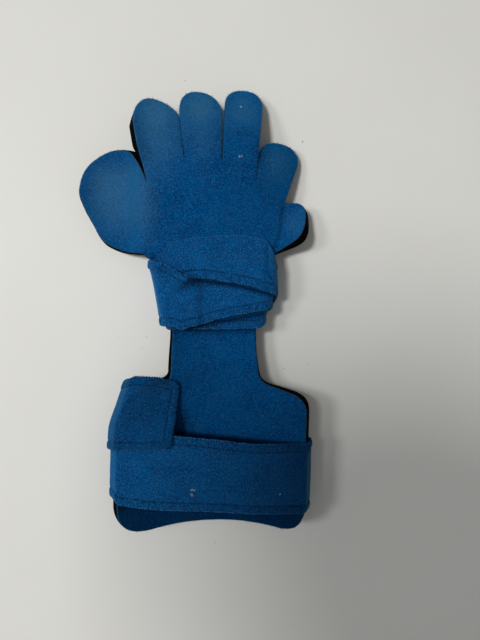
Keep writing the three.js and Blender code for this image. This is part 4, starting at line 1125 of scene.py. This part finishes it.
def loop_fabric(name, dark, light, glint, ribs, sheen, tint, stretch, wear_and_sheen=False, bands=False):
    """Brushed loop fabric: speckled loops with painted glints, soft mottling, fine knit lines, a pale nap
    that is part wear and part painted sheen, and painted shade.
    """
    n = Nodes(name)
    at = n.painted("cloth", "Vector")
    knit = n.add("ShaderNodeVectorMath", {0: at, 1: stretch}, operation="MULTIPLY").outputs["Vector"]
    fine = n.noise(knit, 0.98, 3.0, 0.8, 0.15)
    grain = n.noise(knit, 1.7, 2.0, 0.7, 0.1)
    patch = n.noise(at, 0.11, 3.0, 0.6)
    cell = n.add("ShaderNodeTexVoronoi", {"Vector": at, "Scale": 0.8, "Smoothness": 0.6},
                 feature="SMOOTH_F1").outputs["Distance"]
    loops = n.math("ADD", n.times(fine, 0.62), n.times(grain, 0.38))
    speck = n.math("SUBTRACT", n.spread(loops, 0.42, 0.61), n.times(cell, 0.22), True)
    color = n.mix(speck, dark, light)
    # Painted glints: small pale spots where loop tips would catch the light.
    tip = n.add("ShaderNodeTexVoronoi", {"Vector": at, "Scale": 0.8}).outputs["Distance"]
    tip = n.times(n.spread(tip, 0.4, 0.12), n.spread(n.noise(at, 0.4, 1.0), 0.36, 0.58))
    color = n.mix(n.times(tip, glint), color, GLINT_COLOR)
    color = n.mix(n.times(n.spread(patch, 0.32, 0.68), 0.045), color, PALE)
    wave = n.add("ShaderNodeTexWave", {"Vector": at, "Scale": ribs, "Distortion": 0.8,
                                       "Detail": 2.0, "Detail Scale": 1.2},
                 wave_type="BANDS", bands_direction="Y").outputs["Fac"]
    wave = n.times(wave, n.spread(n.noise(at, 0.05, 1.0), 0.38, 0.6))
    color = n.mix(n.times(wave, 0.28), color, light)
    # Pale nap, part wear and part painted sheen.
    if wear_and_sheen:
        wear_and_sheen_amount = n.times(n.painted("wear_and_sheen"), n.spread(speck, 0.0, 1.0, 0.75, 1.0))
        color = n.mix(wear_and_sheen_amount, color, PALE)
    if bands:
        edge = n.painted("edge")
        color = n.mix(n.times(n.math("LESS_THAN", edge, BAND + 0.4), 0.16), color, dark)
        line = n.spread(n.math("ABSOLUTE", n.math("SUBTRACT", edge, BAND + 0.4)), 0.2, 1.0, 0.75, 0.0)
        line = n.times(line, n.spread(n.noise(at, 0.75, 1.0), 0.4, 0.56, 0.25, 1.0))
        color = n.mix(line, color, SEAM)
    # Painted shade.
    color = n.mix(n.painted("painted_shade"), color, SHADE_NAVY)
    height_at = n.math("ADD", n.times(fine, 0.7), n.times(grain, 0.3))
    height_at = n.math("SUBTRACT", height_at, n.times(cell, 0.35))
    bump = n.add("ShaderNodeBump", {"Height": height_at, "Strength": 0.85, "Distance": 0.0008})
    shader = n.add("ShaderNodeBsdfPrincipled", {
        "Base Color": color, "Roughness": 0.95, "Specular IOR Level": 0.02,
        "Sheen Weight": sheen, "Sheen Roughness": 0.5, "Sheen Tint": tint,
        "Normal": bump.outputs["Normal"]})
    return n.finish(shader.outputs["BSDF"])


def plain_cloth(name, dark, light, scale, rough=0.85, bump_depth=0.0004, shine=0.2):
    n = Nodes(name)
    fine = n.noise(n.painted("cloth", "Vector"), scale, 3.0, 0.65)
    color = n.mix(n.spread(fine, 0.35, 0.68), dark, light)
    bump = n.add("ShaderNodeBump", {"Height": fine, "Strength": 0.7, "Distance": bump_depth})
    shader = n.add("ShaderNodeBsdfPrincipled", {
        "Base Color": color, "Roughness": rough, "Specular IOR Level": shine,
        "Normal": bump.outputs["Normal"]})
    return n.finish(shader.outputs["BSDF"])


def thread_material(name, dark, light):
    n = Nodes(name)
    at = n.add("ShaderNodeTexCoord").outputs["Object"]
    fine = n.noise(at, 560.0, 2.0, 0.6)
    color = n.mix(n.spread(fine, 0.4, 0.6), dark, light)
    # Painted highlight on the edge loops.
    color = n.mix(n.painted("painted_highlight"), color, THREAD_HIGHLIGHT)
    # Painted shade.
    color = n.mix(n.painted("painted_shade"), color, SHADE_NAVY)
    shader = n.add("ShaderNodeBsdfPrincipled", {
        "Base Color": color, "Roughness": 0.9, "Specular IOR Level": 0.05})
    return n.finish(shader.outputs["BSDF"])


face_material = loop_fabric("face_loop", srgb(0, 40, 90), srgb(0, 97, 165), glint=0.34, ribs=0.32,
                            sheen=0.35, tint=(0.02, 0.5, 0.9, 1), stretch=(0.76, 1.2, 1), wear_and_sheen=True)
strap_material = loop_fabric("strap_loop", srgb(0, 38, 90), srgb(6, 112, 186), glint=0.66, ribs=0.25,
                             sheen=0.52, tint=(0.15, 0.52, 0.9, 1), stretch=(1.12, 0.84, 1), bands=True)
cut_edge = plain_cloth("cut_edge", srgb(20, 50, 80), srgb(70, 100, 124), 1.2)
foam_material = plain_cloth("black_foam", srgb(1, 1, 2), srgb(6, 6, 7), 0.9, 0.95, 0.0005, 0.03)
backing = plain_cloth("black_backing", srgb(14, 15, 17), srgb(30, 31, 34), 0.7, 0.9, 0.0003)
thread = thread_material("overlock_thread", srgb(0, 36, 80), srgb(34, 122, 184))


# Pieces.
def dress(obj, flat, walls, first_wall):
    """One material on the flat sides of a layer, another on its cut edge."""
    obj.data.materials.append(flat)
    obj.data.materials.append(walls)
    index = np.zeros(len(obj.data.polygons), np.int32)
    index[first_wall:] = 1
    obj.data.polygons.foreach_set("material_index", index)


face, face_walls = make_face()
dress(face, face_material, cut_edge, face_walls)
points = np.array([v.co for v in face.data.vertices]) / MM - SHIFT
px, py = points[:, 0], points[:, 1]
# Pale nap, part wear and part painted sheen.
wear_and_sheen_amount = sum(r[4] * gauss(px, py, r[:2], r[2:4]) for r in WEAR_AND_SHEEN)
attribute(face, "wear_and_sheen", "FLOAT", np.clip(wear_and_sheen_amount, 0, 0.6))
# Painted shade on the face fabric.
attribute(face, "painted_shade", "FLOAT", face_painted_shade(px, py))
foam, foam_walls = make_foam()
dress(foam, backing, foam_material, foam_walls)

wrist = Strap(WRIST_PLACE)
forearm = Strap(FOREARM_PLACE)
wrist_wrap, wrist_length = strap_mesh("wrist_wrap", wrist, wrist_wrinkle, wrist_painted_shade, flush=True)
forearm_wrap, forearm_length = strap_mesh("forearm_wrap", forearm, forearm_wrinkle, forearm_painted_shade)
wrist_threads = overlock("wrist_overlock", wrist, wrist_wrinkle, wrist_painted_shade, flush=True)
forearm_threads = overlock("forearm_overlock", forearm, forearm_wrinkle, forearm_painted_shade)
for strap_piece in (wrist_wrap, forearm_wrap):
    strap_piece.data.materials.append(strap_material)
for threads in (wrist_threads, forearm_threads):
    threads.data.materials.append(thread)

# Loose hairs and lint.
UP = np.array([0.0, 0.0, 1.0])
HAIRS = 2600
LINT_POINTS = 7
LINT_RADIUS = 0.17


def fibre(start, way, size, bend):
    """One short hair, bent sideways, as a closed tube."""
    side = np.cross(way, UP)
    path = [start, start + way * size * 0.5 + side * bend * 0.3, start + way * size + side * bend]
    return tube(np.array(path), np.array([UP] * 3), [0.07, 0.055, 0.03], 3)


def rim_fuzz():
    """Loose hairs of the brushed face, round its cut edge."""
    loop = base["loop"]
    ahead = np.roll(loop, -1, axis=0) - loop
    out = np.stack([ahead[:, 1], -ahead[:, 0]], axis=1)
    out /= np.linalg.norm(out, axis=1)[:, None]
    parts = []
    for _ in range(HAIRS):
        i = int(rng.integers(len(loop)))
        spot = loop[i] + ahead[i] * rng.random()
        top = float(height(spot[0], spot[1])) - rng.uniform(0.05, 0.7)
        turn = rng.uniform(-0.9, 0.9)
        c, sn = math.cos(turn), math.sin(turn)
        way = np.array([out[i, 0] * c - out[i, 1] * sn, out[i, 0] * sn + out[i, 1] * c,
                        rng.uniform(-0.2, 0.5)])
        parts.append(fibre(np.array([*spot, top]), way, rng.uniform(0.4, 1.1), rng.uniform(-0.4, 0.4)))
    return add_mesh("face_fuzz", *join(parts))


def lint(name, spots, above):
    """Pale specks of lint: a few curled hairs at each spot."""
    parts = []
    for x, y, size, count in spots:
        for _ in range(count):
            turn, radius = rng.uniform(0, 6.28), size * rng.uniform(0.4, 1.0)
            arc = turn + np.linspace(0, rng.uniform(1.6, 3.4), LINT_POINTS)
            at = np.array([x, y]) + rng.normal(0, size * 0.5, 2)
            path = np.column_stack([at[0] + radius * np.cos(arc), at[1] + radius * np.sin(arc), 0 * arc])
            arch = 0.25 + 0.25 * np.sin(np.linspace(0, 3.1, LINT_POINTS))
            path[:, 2] = above(path[:, 0], path[:, 1]) + arch
            parts.append(tube(path, np.array([UP] * LINT_POINTS), LINT_RADIUS, 4))
    return add_mesh(name, *join(parts))


def strap_top(xs, ys):
    """Height of the forearm band's upper side at places near its middle."""
    tries = np.linspace(3.3, 4.7, 400)
    out = []
    for x, y in zip(xs, ys):
        p = forearm.at(tries, 0.5, STRAP, y=np.full(len(tries), y))
        out.append(p[int(np.argmin(np.abs(p[:, 0] - x))), 2])
    return np.array(out)


fuzz = rim_fuzz()
fuzz.data.materials.append(plain_cloth("fuzz", srgb(20, 84, 140), srgb(60, 120, 170), 0.5))
face_lint = lint("face_lint", [(21.5, 153.5, 0.8, 3), (20, 113.5, 0.9, 4), (1, 96, 0.4, 1)], height)
band_lint = lint("band_lint", [(-13, -119, 1.0, 3), (-13.8, -123, 0.9, 3), (48, -121, 0.5, 2)], strap_top)
pale_hair = plain_cloth("pale_hair", srgb(150, 176, 196), srgb(206, 214, 220), 0.5)
for piece in (face_lint, band_lint):
    piece.data.materials.append(pale_hair)

pieces = [
    (fuzz, "face_fabric", "face_loop_fabric"), (face_lint, "face_fabric", "face_loop_fabric"),
    (band_lint, "forearm_strap", "strap_fabric"),
    (face, "face_fabric", "face_loop_fabric"), (foam, "foam_core", "black_foam"),
    (wrist_wrap, "wrist_strap", "strap_fabric"), (forearm_wrap, "forearm_strap", "strap_fabric"),
    (wrist_threads, "wrist_strap", "strap_fabric"),
    (forearm_threads, "forearm_strap", "strap_fabric"),
]
for obj, node, slot in pieces:
    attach(obj, "root")
    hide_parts(node)

# Table.
TABLE = 3.0
floor_mesh = bpy.data.meshes.new("table_top")
floor_mesh.from_pydata([(-TABLE, -TABLE, 0), (TABLE, -TABLE, 0), (TABLE, TABLE, 0), (-TABLE, TABLE, 0)],
                       [], [(0, 1, 2, 3)])
floor = put("table_top", floor_mesh)
table = Nodes("table")
where = table.add("ShaderNodeTexCoord").outputs["Object"]
cloudy = table.noise(where, 6.0, 3.0, 0.6)
color = table.mix(table.spread(cloudy, 0.35, 0.65), (0.775, 0.77, 0.745, 1), (0.8, 0.797, 0.775, 1))
shader = table.add("ShaderNodeBsdfPrincipled", {"Base Color": color, "Roughness": 0.55,
                                               "Specular IOR Level": 0.25})
floor_mesh.materials.append(table.finish(shader.outputs["BSDF"]))

# A few dark crumbs on the table: x, y, size.
CRUMBS = [
    (67.4, 134.5, 0.75), (-50.6, -13, 0.5), (-54, -21, 0.4), (-50.2, -25.6, 0.35), (-70.6, -12.8, 0.4),
    (53.5, -36.6, 0.45), (71.3, -33.2, 0.3), (1, -168, 0.5), (-21.5, 180.5, 0.45), (-166, -60, 0.4),
]
CRUMB_GROWTH = 1.35
CRUMB_SIDES = 7
crumbs, crumb_faces = [], []
for x, y, size in CRUMBS:
    first, size = len(crumbs), CRUMB_GROWTH * size
    for k in range(CRUMB_SIDES):
        turn, reach = k * 6.283 / CRUMB_SIDES, size * rng.uniform(0.4, 1.0)
        crumbs.append((x + reach * math.cos(turn) * 0.6, y + reach * math.sin(turn), 0.02))
    crumbs.append((x, y, 0.35 * size))
    top = first + CRUMB_SIDES
    crumb_faces += [(first + k, first + (k + 1) % CRUMB_SIDES, top) for k in range(CRUMB_SIDES)]
dust = add_mesh("table_crumbs", crumbs, crumb_faces)
dust.data.materials.append(plain_cloth("crumb", srgb(40, 38, 36), srgb(84, 80, 76), 2.0))

# Light: a soft lamp from the left, a weaker one lower down, a pale surround,
# and a card that shades the table's lower right. Places are in metres.
AXIS = (SHIFT[0] + 20) * MM, SHIFT[1] * MM
KEY = Vector((AXIS[0] - 1.16, AXIS[1] + 0.33, 2.6))
SIDE = Vector((AXIS[0] - 1.95, AXIS[1] + 0.2, 2.1))
SURROUND = 0.207
CARD_HALF = (0.193, 0.137)
CARD_TURN = -0.786
CARD_CORNERS = 32
CARD_SHARE = 0.275
SHADE = Vector((AXIS[0] + 0.183, AXIS[1] - 0.236, 0))


def area_light(name, place, power, size, color):
    data = bpy.data.lights.new(name, "AREA")
    data.shape = "DISK"
    data.size = size
    data.energy = power
    data.color = color
    obj = put(name, data)
    obj.location = place
    obj.rotation_euler = (Vector((*AXIS, 0)) - place).to_track_quat("-Z", "Y").to_euler()


area_light("key", KEY, 42.0, 0.54, (1.0, 0.995, 0.965))
area_light("side", SIDE, 17.0, 0.62, (0.98, 0.99, 1.0))
world = bpy.data.worlds.new("surround")
world.use_nodes = True
world.node_tree.nodes["Background"].inputs["Color"].default_value = (0.97, 0.97, 0.95, 1)
world.node_tree.nodes["Background"].inputs["Strength"].default_value = SURROUND
bpy.context.scene.world = world

card_mesh = bpy.data.meshes.new("card")
turns = np.linspace(0, 2 * math.pi, CARD_CORNERS + 1)[:-1]
ring = [(CARD_HALF[0] * math.cos(a), CARD_HALF[1] * math.sin(a), 0) for a in turns]
card_mesh.from_pydata(ring, [], [tuple(range(CARD_CORNERS))])
card = put("card", card_mesh)
card.location = SHADE.lerp(KEY, CARD_SHARE)
card.rotation_euler = (0, 0, CARD_TURN)
card.visible_camera = False

# Camera straight above the middle of the picture.
FOCAL_PIXELS = 490
PICTURE_HEIGHT = 640
SENSOR = 36
CAMERA_HEIGHT = 0.370
camera_data = bpy.data.cameras.new("camera")
camera_data.sensor_width = SENSOR
camera_data.lens = FOCAL_PIXELS / PICTURE_HEIGHT * SENSOR
camera = put("camera", camera_data)
camera.location = (AXIS[0], AXIS[1], CAMERA_HEIGHT)
camera.rotation_euler = (0, 0, 0)
bpy.context.scene.camera = camera
bpy.context.scene.view_settings.view_transform = "Standard"
bpy.context.scene.view_settings.look = "None"
